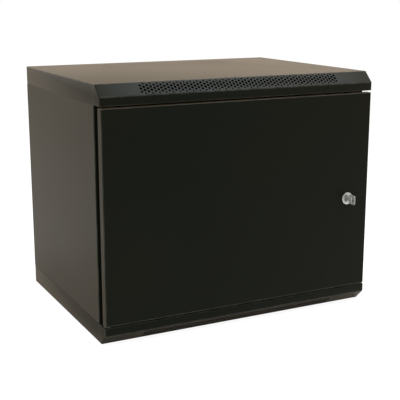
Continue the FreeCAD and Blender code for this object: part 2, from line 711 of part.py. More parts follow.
def make_lock():
    """Quarter turn lock: flanged housing, hexagon nut, plug with keyway, cam, screw and key."""
    face = "(-%s)" % DOOR_FRONT
    flange = "(%s - lock_flange_height)" % face
    tail = "(%s - seat_gap)" % CAM_FRONT
    bore = "(plug_radius + hinge_gap)"
    rim = "lock_flange_radius"
    profile = [(bore, flange), (rim + " - lock_flange_round", flange),
               (rim, flange + " + lock_flange_round"), (rim, face),
               ("lock_barrel_radius", face), ("lock_barrel_radius", tail), (bore, tail)]
    turned_on_lock("lock_housing", profile)

    nut = new_body("lock_nut")
    seat = "(%s - door_sheet)" % DOOR_FRONT
    corners = [("%s + lock_nut_radius*cos(%d)" % (LOCK_X, turn),
                "%s + lock_nut_radius*sin(%d)" % (LOCK_Z, turn)) for turn in range(0, 360, 60)]
    pad(nut, "hexagon", new_sketch(nut, "hexagon_outline", "XZ_Plane", seat, [corners]),
        "lock_nut_height", reverse=True)
    hole = [(LOCK_X, LOCK_Z, "lock_barrel_radius + thread_gap")]
    pocket(nut, "bore", new_sketch(nut, "bore_circle", "XZ_Plane", seat, circles=hole),
           "2*lock_nut_height")

    front = "(%s - plug_face)" % flange
    end = "(%s + cam_sheet - seat_gap)" % CAM_FRONT
    shoulder = CAM_FRONT
    plug = turned_on_lock("lock_plug", [("0", front), ("plug_radius", front),
                                        ("plug_radius", shoulder), ("0", shoulder)])
    square = [square_at(LOCK_X, LOCK_Z, "plug_tail")]
    pad(plug, "square_tail",
        new_sketch(plug, "tail_square", "XZ_Plane", "-(%s)" % shoulder, square),
        "cam_sheet - seat_gap", reverse=True)
    keyway = [rectangle(LOCK_X + " - key_sheet/2 - running_gap/2",
                        LOCK_X + " + key_sheet/2 + running_gap/2",
                        LOCK_Z + " - key_blade_height/2 - running_gap/2",
                        LOCK_Z + " + key_blade_height/2 + running_gap/2")]
    pocket(plug, "keyway", new_sketch(plug, "keyway_outline", "XZ_Plane", "-(%s)" % front, keyway),
           "key_blade_length + running_gap")
    thread = [(LOCK_X, LOCK_Z, "cam_screw_radius + thread_gap")]
    pocket(plug, "screw_hole",
           new_sketch(plug, "screw_circle", "XZ_Plane", "-(%s)" % end, circles=thread),
           "cam_screw_hole", reverse=True)

    cam = new_body("lock_cam")
    half = "cam_width/2"
    arm = [(LOCK_X + " - " + half, LOCK_Z + " - " + half),
           (LOCK_X + " + " + half, LOCK_Z + " - " + half),
           (LOCK_X + " + " + half, LOCK_Z + " + cam_reach - cam_corner"),
           (LOCK_X + " + " + half + " - cam_corner", LOCK_Z + " + cam_reach"),
           (LOCK_X + " - " + half + " + cam_corner", LOCK_Z + " + cam_reach"),
           (LOCK_X + " - " + half, LOCK_Z + " + cam_reach - cam_corner")]
    pad(cam, "arm", new_sketch(cam, "arm_outline", "XZ_Plane", "-(%s)" % CAM_FRONT, [arm]),
        "cam_sheet", reverse=True)
    square = [square_at(LOCK_X, LOCK_Z, "plug_tail + 2*thread_gap")]
    pocket(cam, "square_hole",
           new_sketch(cam, "hole_square", "XZ_Plane", "-(%s)" % CAM_FRONT, square), "2*cam_sheet")

    back = "(%s + cam_sheet)" % CAM_FRONT
    screw = [("0", end + " - cam_screw_reach"), ("cam_screw_radius", end + " - cam_screw_reach"),
             ("cam_screw_radius", back), ("cam_head_radius", back),
             ("cam_head_radius", back + " + cam_head_height"), ("0", back + " + cam_head_height")]
    turned_on_lock("cam_screw", screw)
    make_key(front)


def make_key(front):
    """The key in the plug: a flat blade and a square bow with cut corners and a ring slot."""
    key = new_body("key")
    middle = LOCK_X + " - key_sheet/2"
    blade = rectangle("%s - key_neck - key_blade_sunk" % front,
                      front + " + key_blade_length",
                      LOCK_Z + " - key_blade_height/2", LOCK_Z + " + key_blade_height/2")
    pad(key, "blade", new_sketch(key, "blade_outline", "YZ_Plane", middle, [blade]), "key_sheet")
    outer, inner = "(%s - key_neck - key_bow)" % front, "(%s - key_neck)" % front
    low, high = LOCK_Z + " - key_bow/2", LOCK_Z + " + key_bow/2"
    corner = "key_bow_corner"
    bow = [(outer + " + " + corner, low), (inner + " - " + corner, low),
           (inner, low + " + " + corner), (inner, high + " - " + corner),
           (inner + " - " + corner, high), (outer + " + " + corner, high),
           (outer, high + " - " + corner), (outer, low + " + " + corner)]
    pad(key, "bow", new_sketch(key, "bow_outline", "YZ_Plane", middle, [bow]), "key_sheet")
    slot = rectangle(outer + " + key_bow_rim", outer + " + key_bow_rim + key_ring_width",
                     LOCK_Z + " - key_ring_height/2", LOCK_Z + " + key_ring_height/2")
    pocket(key, "ring_slot", new_sketch(key, "slot_outline", "YZ_Plane", middle, [slot]),
           "2*key_sheet", reverse=True)


def prism(name, sides, radius, height):
    block = doc.addObject("Part::Prism", name)
    block.Polygon = sides
    bind(block, "Circumradius", radius)
    bind(block, "Height", height)
    return block


def bolt_solid(name, across, along, seat, sign, length, head_sides=6):
    """One bolt: its head sits on the seat, away from the middle, and its shank points inward."""
    top = prism(name + "_head", head_sides, "bolt_head_radius", "bolt_head_height")
    shank = prism(name + "_shank", SHANK_SIDES, "bolt_shank", length + " + bolt_head_height/2")
    low = "(%s) - bolt_head_height" % seat if sign < 0 else seat
    bind(top, "Placement.Base.z", low)
    reach = "(%s) - bolt_head_height/2" % seat if sign < 0 else "(%s) - (%s)" % (seat, length)
    bind(shank, "Placement.Base.z", reach)
    for item in (top, shank):
        bind(item, "Placement.Base.x", across)
        bind(item, "Placement.Base.y", along)
    whole = doc.addObject("Part::Fuse", name)
    whole.Base = top
    whole.Tool = shank
    return whole


def nut_solid(name, across, along, seat, sign):
    """One hexagon nut on its seat; sign is the side of the middle on which it lies."""
    block = prism(name + "_block", 6, "bolt_head_radius", "nut_height")
    bore = prism(name + "_bore", SHANK_SIDES, "bolt_shank + thread_gap", "nut_height")
    for item in (block, bore):
        bind(item, "Placement.Base.x", across)
        bind(item, "Placement.Base.y", along)
        bind(item, "Placement.Base.z", seat if sign < 0 else "(%s) - nut_height" % seat)
    whole = doc.addObject("Part::Cut", name)
    whole.Base = block
    whole.Tool = bore
    return whole


def gather(name, members):
    """Identical fasteners as one piece: a compound of separate solids."""
    group = doc.addObject("Part::Compound", name)
    group.Label = name
    group.Links = members
    pieces.append(group)


def make_frame_fasteners():
    """Bolts down through tray lip, panel return and beam, with nuts inside the cabinet."""
    bolts, nuts = [], []
    shank = "tray_sheet + side_sheet + beam_sheet + nut_height + shank_spare"
    for sign in (-1, 1):
        for side in (-1, 1):
            for along in FRAME_BOLT_YS:
                across = mirrored(side, FRAME_BOLT_X)
                tag = "%d" % len(bolts)
                bolts.append(bolt_solid("frame_bolt_" + tag, across, along,
                                        mirrored(sign, SEAM + " + tray_sheet"), sign, shank))
                nuts.append(nut_solid("frame_nut_" + tag, across, along,
                                      mirrored(sign, BEAM_UNDER), sign))
    gather("frame_bolts", bolts)
    gather("frame_nuts", nuts)


def make_back_fasteners():
    """Bolts that clamp the back panel's returns to the trays' rear lips."""
    bolts, nuts = [], []
    shank = "tray_sheet + back_sheet + nut_height + shank_spare"
    for sign in (-1, 1):
        for side in (-1, 1):
            across = mirrored(side, "back_bolt_spread")
            tag = "%d" % len(bolts)
            bolts.append(bolt_solid("back_bolt_" + tag, across, "-back_return/2",
                                    mirrored(sign, SEAM + " + tray_sheet"), sign, shank))
            nuts.append(nut_solid("back_nut_" + tag, across, "-back_return/2",
                                  mirrored(sign, SEAM + " - back_sheet"), sign))
    gather("back_bolts", bolts)
    gather("back_nuts", nuts)


def make_rail_fasteners(word, side):
    """Round-headed bolts that hang the rail's feet in the slots of two depth beams."""
    bolts, nuts = [], []
    shank = "beam_sheet + 2*seat_gap + rail_sheet + nut_height + shank_spare"
    for sign in (-1, 1):
        across = mirrored(side, RAIL_BOLT_X)
        tag = "%s_%d" % (word, len(bolts))
        bolts.append(bolt_solid("rail_bolt_" + tag, across, RAIL_BOLT_Y,
                                mirrored(sign, BEAM_TOP + " + seat_gap"), sign, shank,
                                ROUND_HEAD_SIDES))
        nuts.append(nut_solid("rail_nut_" + tag, across, RAIL_BOLT_Y,
                              mirrored(sign, RAIL_END + " - rail_sheet"), sign))
    gather(word + "_rail_bolts", bolts)
    gather(word + "_rail_nuts", nuts)


def make_buffers():
    """Two rubber buffers on the right side panel's front return, just behind the closed door."""
    members = []
    for word, sign in (("low", -1), ("high", 1)):
        buffer = doc.addObject("Part::Box", word + "_buffer")
        bind(buffer, "Length", "buffer_width")
        bind(buffer, "Width", "side_setback + door_proud - door_depth - running_gap")
        bind(buffer, "Height", "buffer_height")
        bind(buffer, "Placement.Base.x", HALF_WIDTH + " - side_return/2 - buffer_width/2")
        bind(buffer, "Placement.Base.y", "-cabinet_depth - door_proud + door_depth + running_gap")
        bind(buffer, "Placement.Base.z", mirrored(sign, "buffer_spacing/2") + " - buffer_height/2")
        members.append(buffer)
    gather("door_buffers", members)


def make_earth_stud(word, turn, across, along, up):
    """A welded stud and its nut; turn stands the stud on its sheet."""
    stud = prism(word + "_earth_stud", ROUND_HEAD_SIDES, "bolt_shank", "earth_stud_length")
    block = prism(word + "_earth_nut_block", 6, "bolt_head_radius", "nut_height")
    bore = prism(word + "_earth_nut_bore", ROUND_HEAD_SIDES, "bolt_shank + thread_gap",
                 "nut_height")
    for item in (stud, block, bore):
        item.Placement = FreeCAD.Placement(
            FreeCAD.Vector(0, 0, 0), FreeCAD.Rotation(FreeCAD.Vector(1, 0, 0), turn))
        bind(item, "Placement.Base.x", across)
        bind(item, "Placement.Base.y", along)
        bind(item, "Placement.Base.z", up)
    nut = doc.addObject("Part::Cut", word + "_earth_nut")
    nut.Base = block
    nut.Tool = bore
    for item in (stud, nut):
        item.Label = item.Name
        pieces.append(item)


make_tray("roof_tray", 1)
make_tray("floor_tray", -1)
make_entry_blank("roof_entry_blank", 1)
make_entry_blank("floor_entry_blank", -1)
make_side_panel("left_side_panel", -1)
make_side_panel("right_side_panel", 1)
make_back_panel()
for beam_side, beam_word in ((-1, "left"), (1, "right")):
    make_beam("upper_%s_beam" % beam_word, beam_side, 1)
    make_beam("lower_%s_beam" % beam_word, beam_side, -1)
    make_rail(beam_word + "_rail", beam_side)
    make_rail_fasteners(beam_word, beam_side)
make_frame_fasteners()
make_back_fasteners()
make_door_panel()
make_stiffener()
make_upper_bracket()
make_upper_pin()
make_upper_spring()
make_lower_hinge()
make_lock()
make_buffers()
make_earth_stud("frame", 0, "-%s + earth_stud_inset" % HALF_WIDTH, "-earth_stud_inset",
                "-cabinet_height/2 + tray_sheet")
make_earth_stud("door", -90, HINGE_X + " + earth_stud_inset", "-%s + door_sheet" % DOOR_FRONT,
                DOOR_BOTTOM + " + earth_stud_inset")
doc.recompute()

for thing in doc.Objects:
    bad = [word for word in thing.State if word in ("Invalid", "Error")]
    if bad:
        raise RuntimeError("%s is %s" % (thing.Name, bad))
for piece in pieces:
    if piece.Shape.isNull() or not piece.Shape.isValid():
        raise RuntimeError("%s has no valid shape" % piece.Label)

os.makedirs("parts", exist_ok=True)
for piece in pieces:
    piece.Shape.exportStep("parts/%s.step" % piece.Label)
print("%d pieces written" % len(pieces))
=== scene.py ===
import json
import math

import bmesh
import bpy
from bpy.props import FloatProperty, FloatVectorProperty, IntProperty, PointerProperty
from mathutils import Matrix, Vector


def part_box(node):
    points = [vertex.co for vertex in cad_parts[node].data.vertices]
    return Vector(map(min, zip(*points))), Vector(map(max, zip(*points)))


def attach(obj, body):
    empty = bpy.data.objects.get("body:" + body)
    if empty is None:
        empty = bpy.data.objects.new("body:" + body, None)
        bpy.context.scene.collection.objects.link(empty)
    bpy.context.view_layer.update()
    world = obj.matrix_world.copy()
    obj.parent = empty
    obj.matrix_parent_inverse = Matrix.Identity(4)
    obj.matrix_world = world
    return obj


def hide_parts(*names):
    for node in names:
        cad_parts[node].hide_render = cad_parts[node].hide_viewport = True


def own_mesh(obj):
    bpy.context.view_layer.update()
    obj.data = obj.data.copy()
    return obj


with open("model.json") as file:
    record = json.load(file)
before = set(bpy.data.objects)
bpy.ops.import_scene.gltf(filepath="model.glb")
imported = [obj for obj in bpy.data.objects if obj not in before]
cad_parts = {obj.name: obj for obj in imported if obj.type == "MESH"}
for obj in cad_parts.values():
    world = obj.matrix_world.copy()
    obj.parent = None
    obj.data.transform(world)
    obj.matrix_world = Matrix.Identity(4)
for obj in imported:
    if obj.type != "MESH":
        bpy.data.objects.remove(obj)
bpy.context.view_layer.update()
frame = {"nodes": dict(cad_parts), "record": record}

bl_info = {
    "name": "Wall network cabinet",
    "version": (1, 0, 0),
    "blender": (4, 5, 0),
    "location": "View3D > Sidebar > Cabinet",
    "description": "Dresses a wall network cabinet: trays, fasteners, hinges, lock and finishes",
    "category": "Object",
}

X, Y, Z = Vector((1, 0, 0)), Vector((0, 1, 0)), Vector((0, 0, 1))
SLOT_OF = {part["node"]: part["material_slot"] for part in frame["record"]["subparts"]}
WHITE = (1.0, 1.0, 1.0, 1.0)

# Sizes that several pieces share, in metres
HEXAGON = 0.00577      # centre to corner of a hexagon head or nut
HALF_FLATS = 0.005     # centre to flat of the same
BORE = 0.00305         # radius of a nut's bore and of the hole round a hinge pin
BOLT_HOLE = 0.0032     # radius of a bolt's hole in the sheet
HEAD = 0.003           # height of a bolt's head
HEAD_FLANK = 0.0027    # height at which the head's crown starts
NUT = 0.004            # height of a nut
SHAFT = 0.0030         # outer radius of a bolt's thread and of a hinge pin
PLUG_SQUARE = 0.0034   # half the width of the lock plug's square end
CAM_SQUARE = 0.00355   # half the width of the cam's hole, which fits over that end


def length(name, value, words):
    return FloatProperty(name=name, default=value, description=words, unit="LENGTH", precision=5,
                         min=0.0)


def colour(name, value, words):
    return FloatVectorProperty(name=name, default=value, description=words, subtype="COLOR",
                               size=3, min=0.0, max=1.0)


class CabinetSizes(bpy.types.PropertyGroup):
    """Sizes of the details that dress the cabinet."""

    sheet: length("Tray sheet", 0.0012, "Thickness of the roof and floor trays")
    fold: length("Fold radius", 0.0018, "Outer radius of the folds")
    bevel_run: length("Bevel run", 0.0215, "How far the vented bevel reaches back from the front")
    side_lip: length("Side lip", 0.020, "Width of the tray's lip over each side panel")
    front_lip: length("Front lip", 0.028, "Width of the tray's lip over the door")
    rear_lip: length("Rear lip", 0.020, "Width of the tray's lip over the back panel")
    blank_margin: length("Blank margin", 0.009, "How far the entry blank reaches under the sheet")
    vent_pitch: length("Vent pitch", 0.006915, "Distance between two columns of vent holes")
    vent_step: length("Vent step", 0.00365, "Distance between two rows of vent holes")
    vent_columns: IntProperty(name="Vent columns", default=63, min=3,
                              description="Columns of vent holes in each bevel")
    vent_radius: length("Vent radius", 0.0029, "Radius of the three middle rows of holes")
    vent_radius_next: length("Next vent radius", 0.0026, "Radius of the rows beside them")
    vent_radius_outer: length("Outer vent radius", 0.0019, "Radius of the outermost rows")
    thread_pitch: length("Thread pitch", 0.001, "Pitch of the fasteners' threads")
    spring_wire: length("Spring wire", 0.00035, "Radius of the hinge spring's wire")
    spring_turns: IntProperty(name="Spring turns", default=9, min=2,
                              description="Turns of the hinge spring")
    weld_spacing: length("Weld spacing", 0.044, "Distance between two spot welds")
    weld_radius: length("Weld radius", 0.0024, "Radius of a spot weld's mark")


class CabinetColours(bpy.types.PropertyGroup):
    """Colours of the cabinet's finishes and of the floor that it stands on."""

    paint: colour("Powder coat", (0.0036, 0.0048, 0.0030), "Black powder coat")
    # colour along the folds: rubbed paint, and a painted highlight of the light on the bends
    worn: colour("Worn folds and painted highlight", (0.036, 0.036, 0.031), "Powder coat rubbed along the folds, plus a painted highlight on the bends")
    zinc: colour("Zinc plate", (0.44, 0.45, 0.46), "Rails, beams and fasteners")
    nickel: colour("Nickel plate", (0.40, 0.395, 0.38), "Lock and key")
    spring: colour("Spring steel", (0.33, 0.33, 0.34), "Coil spring of the upper hinge")
    rubber: colour("Rubber", (0.018, 0.018, 0.018), "Door buffers")
    nylon: colour("Nylon", (0.040, 0.040, 0.038), "Washer of the lower hinge")
    floor: colour("Floor", (0.88, 0.88, 0.87), "Floor of the studio")


def sizes():
    return bpy.context.scene.cabinet_sizes


def colours():
    return bpy.context.scene.cabinet_colours


# ---- node trees

def math_node(operation, swapped=False):
    """A method of Signal that adds one Math node."""
    def method(self, other=0.0):
        pair = (other, self) if swapped else (self, other)
        return self.tree.node("ShaderNodeMath", {"operation": operation}, dict(enumerate(pair)))
    return method


class Signal:
    """An output socket that can be written in sums; each sum adds its Math node."""

    def __init__(self, tree, socket):
        self.tree = tree
        self.socket = socket

    __add__ = __radd__ = math_node("ADD")
    __sub__ = math_node("SUBTRACT")
    __rsub__ = math_node("SUBTRACT", swapped=True)
    __mul__ = math_node("MULTIPLY")
    __mod__ = math_node("MODULO")
    __pow__ = math_node("POWER")
    __lt__ = math_node("LESS_THAN")
    __gt__ = math_node("GREATER_THAN")
    __abs__ = math_node("ABSOLUTE")
    least = math_node("MINIMUM")
    most = math_node("MAXIMUM")


class Tree:
    """Adds nodes to the node group of a material, a world or a modifier."""

    def __init__(self, group):
        self.group = group

    def node(self, kind, settings=None, inputs=None, output=0):
        """Add one node: settings first, then a value or a link for each socket."""
        made = self.group.nodes.new(kind)
        for word, value in (settings or {}).items():
            if word == "stops":
                ramp = made.color_ramp.elements
                for number, (place, shade) in enumerate(value):
                    stop = ramp[number] if number < 2 else ramp.new(place)
                    stop.position = place
                    stop.color = (*shade, 1.0)
            else:
                setattr(made, word, value)
        for word, value in (inputs or {}).items():
            socket = made.inputs[word]
            if isinstance(value, Signal):
                self.group.links.new(value.socket, socket)
            else:
                socket.default_value = value
        return Signal(self, made.outputs[output]) if made.outputs else None


def emptied(owner):
    """The node tree of a material or a world, with its first nodes taken out."""
    owner.use_nodes = True
    owner.node_tree.nodes.clear()
    return Tree(owner.node_tree)


def rays(tree):
    """Signals that say whether a ray comes from the camera, a reflection or a passage."""
    outputs = tree.node("ShaderNodeLightPath").socket.node.outputs
    return [Signal(tree, outputs[word])
            for word in ("Is Camera Ray", "Is Glossy Ray", "Is Transmission Ray")]


def mix(tree, factor, first, second):
    """Blend two colours, each a triple or a link."""
    pair = [(*tone, 1.0) if isinstance(tone, (tuple, list)) else tone
            for tone in (first, second)]
    return tree.node("ShaderNodeMix", {"data_type": "RGBA"},
                     {0: factor, 6: pair[0], 7: pair[1]}, output=2)


def steps(tree, value, low, high):
    """0 below low, 1 above high and a smooth run between them; low may be the larger."""
    return tree.node("ShaderNodeMapRange", {"interpolation_type": "SMOOTHSTEP"},
                     {"Value": value, 1: low, 2: high})


def noise(tree, place, scale, detail=2.0, stretch=None):
    if stretch:
        place = tree.node("ShaderNodeMapping", {}, {"Vector": place, "Scale": stretch})
    return tree.node("ShaderNodeTexNoise", {}, {"Vector": place, "Scale": scale, "Detail": detail})


def shade(triple, factor):
    return tuple(min(1.0, channel * factor) for channel in triple)


# ---- finishes

def new_finish(name):
    material = bpy.data.materials.new(name)
    tree = emptied(material)
    return material, tree, tree.node("ShaderNodeTexCoord", output="Object")


def close_finish(tree, colour_signal, roughness, height, bump, depth, constants):
    """Principled surface with colour, roughness and a bump of height; the rest are constants."""
    normal = tree.node("ShaderNodeBump", {}, {"Strength": bump, "Distance": depth,
                                              "Height": height})
    surface = tree.node("ShaderNodeBsdfPrincipled", {},
                        {"Base Color": colour_signal, "Roughness": roughness, "Normal": normal,
                         **constants})
    tree.node("ShaderNodeOutputMaterial", {}, {"Surface": surface})


def fold_wear_and_painted_highlight(tree, place, lines):
    """How near a point is to the folds, which sets both the rubbed paint and the painted highlight
    along the bends: each line runs along one axis, at two coordinates.
    Left and right, and top and bottom, are the same."""
    split = tree.node("ShaderNodeSeparateXYZ", {}, {"Vector": place})
    axes = {word: Signal(tree, split.socket.node.outputs[word]) for word in "XYZ"}
    axes["X"], axes["Z"] = abs(axes["X"]), abs(axes["Z"])
    nearest = None
    for plane, first, second in lines:
        across, up = axes[plane[0]] - first, axes[plane[1]] - second
        gap = (across * across + up * up) ** 0.5
        nearest = nearest.least(gap) if nearest else gap
    return steps(tree, nearest, 0.0024, 0.0007)


def powder_coat(name, lines):
    """Fine-textured black powder coat, lighter and a little smoother along the folds: partly
    rubbed paint, partly a painted highlight where the bends catch light.
    """
    tone = tuple(colours().paint)
    material, tree, place = new_finish(name)
    clouds = noise(tree, place, 5.0, 3.0)
    flow = noise(tree, place, 420.0, 2.0)
    grain = noise(tree, place, 1900.0, 1.0)
    scuffs = noise(tree, place, 60.0, 4.0, (1.0, 1.0, 0.35))
    # lighter along the folds: rubbed paint, and a painted highlight standing in for the light that
    # the bends catch
    worn = fold_wear_and_painted_highlight(tree, place, lines) * (0.45 + steps(tree, scuffs, 0.42, 0.62) * 0.55)
    patches = steps(tree, noise(tree, place, 3.4, 2.0), 0.42, 0.66)
    base = mix(tree, clouds * 0.6 + grain * 0.4, shade(tone, 0.80), shade(tone, 1.25))
    base = mix(tree, patches * 0.6, base, (tone[0] * 1.6, tone[1] * 1.1, tone[2] * 0.8))
    # paints the fold colour in: worn paint and a painted highlight together
    base = mix(tree, worn * 0.8, base, tuple(colours().worn))
    roughness = 0.36 + clouds * 0.06 + grain * 0.06 - worn * 0.08
    close_finish(tree, base, roughness, flow * 0.7 + grain * 0.3, 0.22, 0.0004,
                 {"Specular IOR Level": 0.047, "Sheen Weight": 0.18, "Sheen Roughness": 0.37,
                  "Sheen Tint": (1.0, 0.68, 0.36, 1.0)})
    return material


def zinc_plate(name="zinc_plate_finish"):
    """Bright zinc plate: pale patches, drawing lines along the length and small dull spots."""
    tone = tuple(colours().zinc)
    material, tree, place = new_finish(name)
    patches = noise(tree, place, 38.0, 3.0)
    lines = noise(tree, place, 500.0, 2.0, (1.0, 0.06, 0.06))
    spots = noise(tree, place, 240.0, 2.0)
    dull = steps(tree, spots, 0.60, 0.75)
    base = mix(tree, patches, shade(tone, 0.82), shade(tone, 1.12))
    base = mix(tree, dull * 0.5, base, shade(tone, 0.70))
    roughness = 0.30 + patches * 0.12 + dull * 0.15
    close_finish(tree, base, roughness, lines * 0.6 + spots * 0.4, 0.12, 0.0002,
                 {"Metallic": 1.0})
    return material


def nickel_plate(name, rubbed=0.0):
    """Polished nickel with fine scratches; rubbed, as on a key, it is duller and darker."""
    tone = tuple(colours().nickel)
    material, tree, place = new_finish(name)
    haze = noise(tree, place, 90.0, 3.0)
    scratches = steps(tree, noise(tree, place, 700.0, 3.0, (1.0, 0.3, 0.12)), 0.62, 0.70)
    base = mix(tree, haze, shade(tone, 0.88), shade(tone, 1.10))
    base = mix(tree, scratches * 0.35, base, shade(tone, 0.65))
    base = mix(tree, rubbed * 0.45, base, shade(tone, 0.45))
    roughness = 0.20 + rubbed * 0.30 + haze * 0.14 + scratches * 0.16
    close_finish(tree, base, roughness, scratches, 0.10, 0.0001,
                 {"Metallic": 1.0 - 0.5 * rubbed})
    return material


def spring_steel(name="spring_steel_finish"):
    """Oiled steel wire, with brown oil in patches."""
    tone = tuple(colours().spring)
    material, tree, place = new_finish(name)
    oil = steps(tree, noise(tree, place, 300.0, 2.0), 0.42, 0.62)
    grain = noise(tree, place, 2500.0, 1.0)
    base = mix(tree, oil, tone, (tone[0] * 0.75, tone[1] * 0.62, tone[2] * 0.48))
    close_finish(tree, base, 0.24 + oil * 0.12 + grain * 0.08, grain, 0.10, 0.0001,
                 {"Metallic": 1.0})
    return material


def soft_finish(name, tone, grain_scale, roughness, depth):
    """Matt rubber or nylon: cloudy colour, a fine moulded grain, dust in the grain."""
    material, tree, place = new_finish(name)
    clouds = noise(tree, place, 120.0, 2.0)
    grain = noise(tree, place, grain_scale, 2.0)
    base = mix(tree, clouds, shade(tone, 0.86), shade(tone, 1.14))
    base = mix(tree, steps(tree, grain, 0.58, 0.76) * 0.30, base, shade(tone, 1.8))
    close_finish(tree, base, roughness + grain * 0.12, grain, 0.25, depth, {})
    return material


def finish_for(slot, lines_of="shell"):
    """The finish of a slot; the powder coat has one for each set of folds, and a key its own."""
    own = slot == "black_paint" or lines_of == "key"
    name = "%s_%s" % (slot, lines_of) if own else slot + "_finish"
    if name in bpy.data.materials:
        return bpy.data.materials[name]
    if slot == "black_paint":
        return powder_coat(name, FOLDS[lines_of]())
    if slot == "nickel_plate":
        return nickel_plate(name, 1.0 if lines_of == "key" else 0.0)
    if slot == "rubber":
        return soft_finish(name, tuple(colours().rubber), 900.0, 0.72, 0.0003)
    if slot == "nylon":
        return soft_finish(name, tuple(colours().nylon), 600.0, 0.45, 0.0001)
    return {"zinc_plate": zinc_plate, "spring_steel": spring_steel}[slot](name)


def shell_folds():
    low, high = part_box("roof_tray")
    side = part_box("left_side_panel")[0]
    run = sizes().bevel_run
    return [("YZ", low.y + run, high.z), ("YZ", low.y, high.z - run), ("YZ", low.y, low.z),
            ("XZ", high.x, high.z), ("XY", high.x, low.y), ("XY", high.x, side.y)]


def door_folds():
    low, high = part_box("door_panel")
    return [("XY", high.x, low.y), ("YZ", low.y, (high.z - low.z) / 2)]


FOLDS = {"shell": shell_folds, "door": door_folds}


# ---- meshes

def new_object(name, mesh):
    thing = bpy.data.objects.new(name, mesh)
    bpy.context.scene.collection.objects.link(thing)
    return thing


def mesh_of(name, shape):
    """A closed bmesh as a mesh, its faces turned outwards."""
    bmesh.ops.remove_doubles(shape, verts=shape.verts, dist=1e-7)
    bmesh.ops.recalc_face_normals(shape, faces=shape.faces)
    mesh = bpy.data.meshes.new(name)
    shape.to_mesh(mesh)
    shape.free()
    return mesh


def built(name, shape):
    return new_object(name, mesh_of(name + "_mesh", shape))


def settle(thing, angle=32.0):
    """Keep the modifiers' result as the object's plain mesh, smooth but for its real edges."""
    bpy.context.view_layer.update()
    graph = bpy.context.evaluated_depsgraph_get()
    mesh = bpy.data.meshes.new_from_object(thing.evaluated_get(graph), depsgraph=graph)
    thing.modifiers.clear()
    thing.data = mesh
    mesh.name = thing.name
    mesh.shade_smooth()
    mesh.set_sharp_from_angle(angle=math.radians(angle))
    return thing


def soften(thing, width, segments=2):
    """Small rounds on the sharp edges."""
    edge = thing.modifiers.new("Edges", "BEVEL")
    edge.width = width
    edge.segments = segments
    edge.limit_method = "ANGLE"
    edge.angle_limit = math.radians(40)
    return thing


def place_piece(thing, body, nodes, slot=None, lines_of="shell"):
    """Give a finished piece its finish, its body and the nodes that it stands for."""
    slot = slot or SLOT_OF[nodes[0]]
    if not thing.data.materials:
        thing.data.materials.append(None)
    thing.data.materials[0] = finish_for(slot, lines_of)
    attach(thing, body)
    if nodes:
        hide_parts(*nodes)
    return thing


def turned(shape, profile, middle, axis, sides=48, closed=False):
    """Turn (radius, height) points about an axis; a radius of 0 closes an end."""
    axis = Vector(axis).normalized()
    across = axis.orthogonal().normalized()
    over = axis.cross(across)
    rings = []
    for radius, height in profile:
        seat = middle + axis * height
        count = sides if radius > 1e-7 else 1
        rings.append([shape.verts.new(seat + (across * math.cos(2 * math.pi * step / count)
                                              + over * math.sin(2 * math.pi * step / count))
                                      * radius) for step in range(count)])
    if closed:
        rings.append(rings[0])
    for low, high in zip(rings, rings[1:]):
        for step in range(sides):
            after = step + 1
            corners = list(dict.fromkeys([low[step % len(low)], low[after % len(low)],
                                          high[after % len(high)], high[step % len(high)]]))
            if len(corners) > 2:
                shape.faces.new(corners)


def rounded(corners, radius, parts=4, closed=False):
    """The same line with a small arc in each corner; radius is one size or one for each."""
    count = len(corners)
    radii = radius if isinstance(radius, (list, tuple)) else [radius] * count
    line = []
    for number, corner in enumerate(corners):
        here = Vector(corner)
        if radii[number] <= 0 or (not closed and number in (0, count - 1)):
            line.append(tuple(here))
            continue
        before = Vector(corners[number - 1]) - here
        after = Vector(corners[(number + 1) % count]) - here
        reach = min(radii[number], before.length * 0.49, after.length * 0.49)
        start, end = here + before.normalized() * reach, here + after.normalized() * reach
        for part in range(parts + 1):
            t = part / parts
            line.append(tuple(start * (1 - t) ** 2 + here * 2 * t * (1 - t) + end * t * t))
    return line


def circle_line(across, up, radius, sides=32):
    return [(across + radius * math.cos(2 * math.pi * step / sides),
             up + radius * math.sin(2 * math.pi * step / sides)) for step in range(sides)]


def box_line(left, right, low, high):
    return [(left, low), (right, low), (right, high), (left, high)]


def square_line(half):
    return box_line(-half, half, -half, half)


def fill(shape, loops, place):
    """A flat face with holes: loops of (across, up) points, the first one round the others."""
    edges = []
    for loop in loops:
        corners = [shape.verts.new(place @ Vector((across, up, 0.0))) for across, up in loop]
        edges += [shape.edges.new((corners[step], corners[(step + 1) % len(corners)]))
                  for step in range(len(corners))]
    filled = bmesh.ops.triangle_fill(shape, use_beauty=True, edges=edges,
                                     normal=place.to_3x3() @ Z)
    return [item for item in filled["geom"] if isinstance(item, bmesh.types.BMFace)]


def plate(shape, loops, place, thickness):
    """A flat sheet with holes, as thick as asked along the place's own third axis."""
    faces = fill(shape, loops, place)
    grown = bmesh.ops.extrude_face_region(shape, geom=faces, use_keep_orig=True)
    moved = [item for item in grown["geom"] if isinstance(item, bmesh.types.BMVert)]
    bmesh.ops.translate(shape, verts=moved, vec=place.to_3x3() @ Vector((0, 0, thickness)))


def facing(origin, across, up):
    """A place whose plane has these two axes; its third axis is across x up."""
    across, up = Vector(across), Vector(up)
    matrix = Matrix((across, up, across.cross(up))).transposed().to_4x4()
    matrix.translation = origin
    return matrix


def threaded(radius, low, high, pitch):
    """A profile whose ridges stand for a thread, from low to high."""
    count = max(1, int((high - low) / pitch))
    depth = pitch * 0.55
    line = []
    for turn in range(count):
        line += [(radius - depth, low + turn * pitch + pitch * 0.05),
                 (radius, low + turn * pitch + pitch * 0.5),
                 (radius - depth, low + turn * pitch + pitch * 0.95)]
    return line


def turned_piece(name, profile, middle, axis, sides, closed=False, angle=32.0):
    shape = bmesh.new()
    turned(shape, profile, middle, axis, sides, closed)
    return settle(built(name, shape), angle)


def stamped_piece(name, loops, place, thickness, edge):
    """A flat piece with holes, its edges softened."""
    shape = bmesh.new()
    plate(shape, loops, place, thickness)
    return settle(soften(built(name, shape), edge))


# ---- geometry node recipes

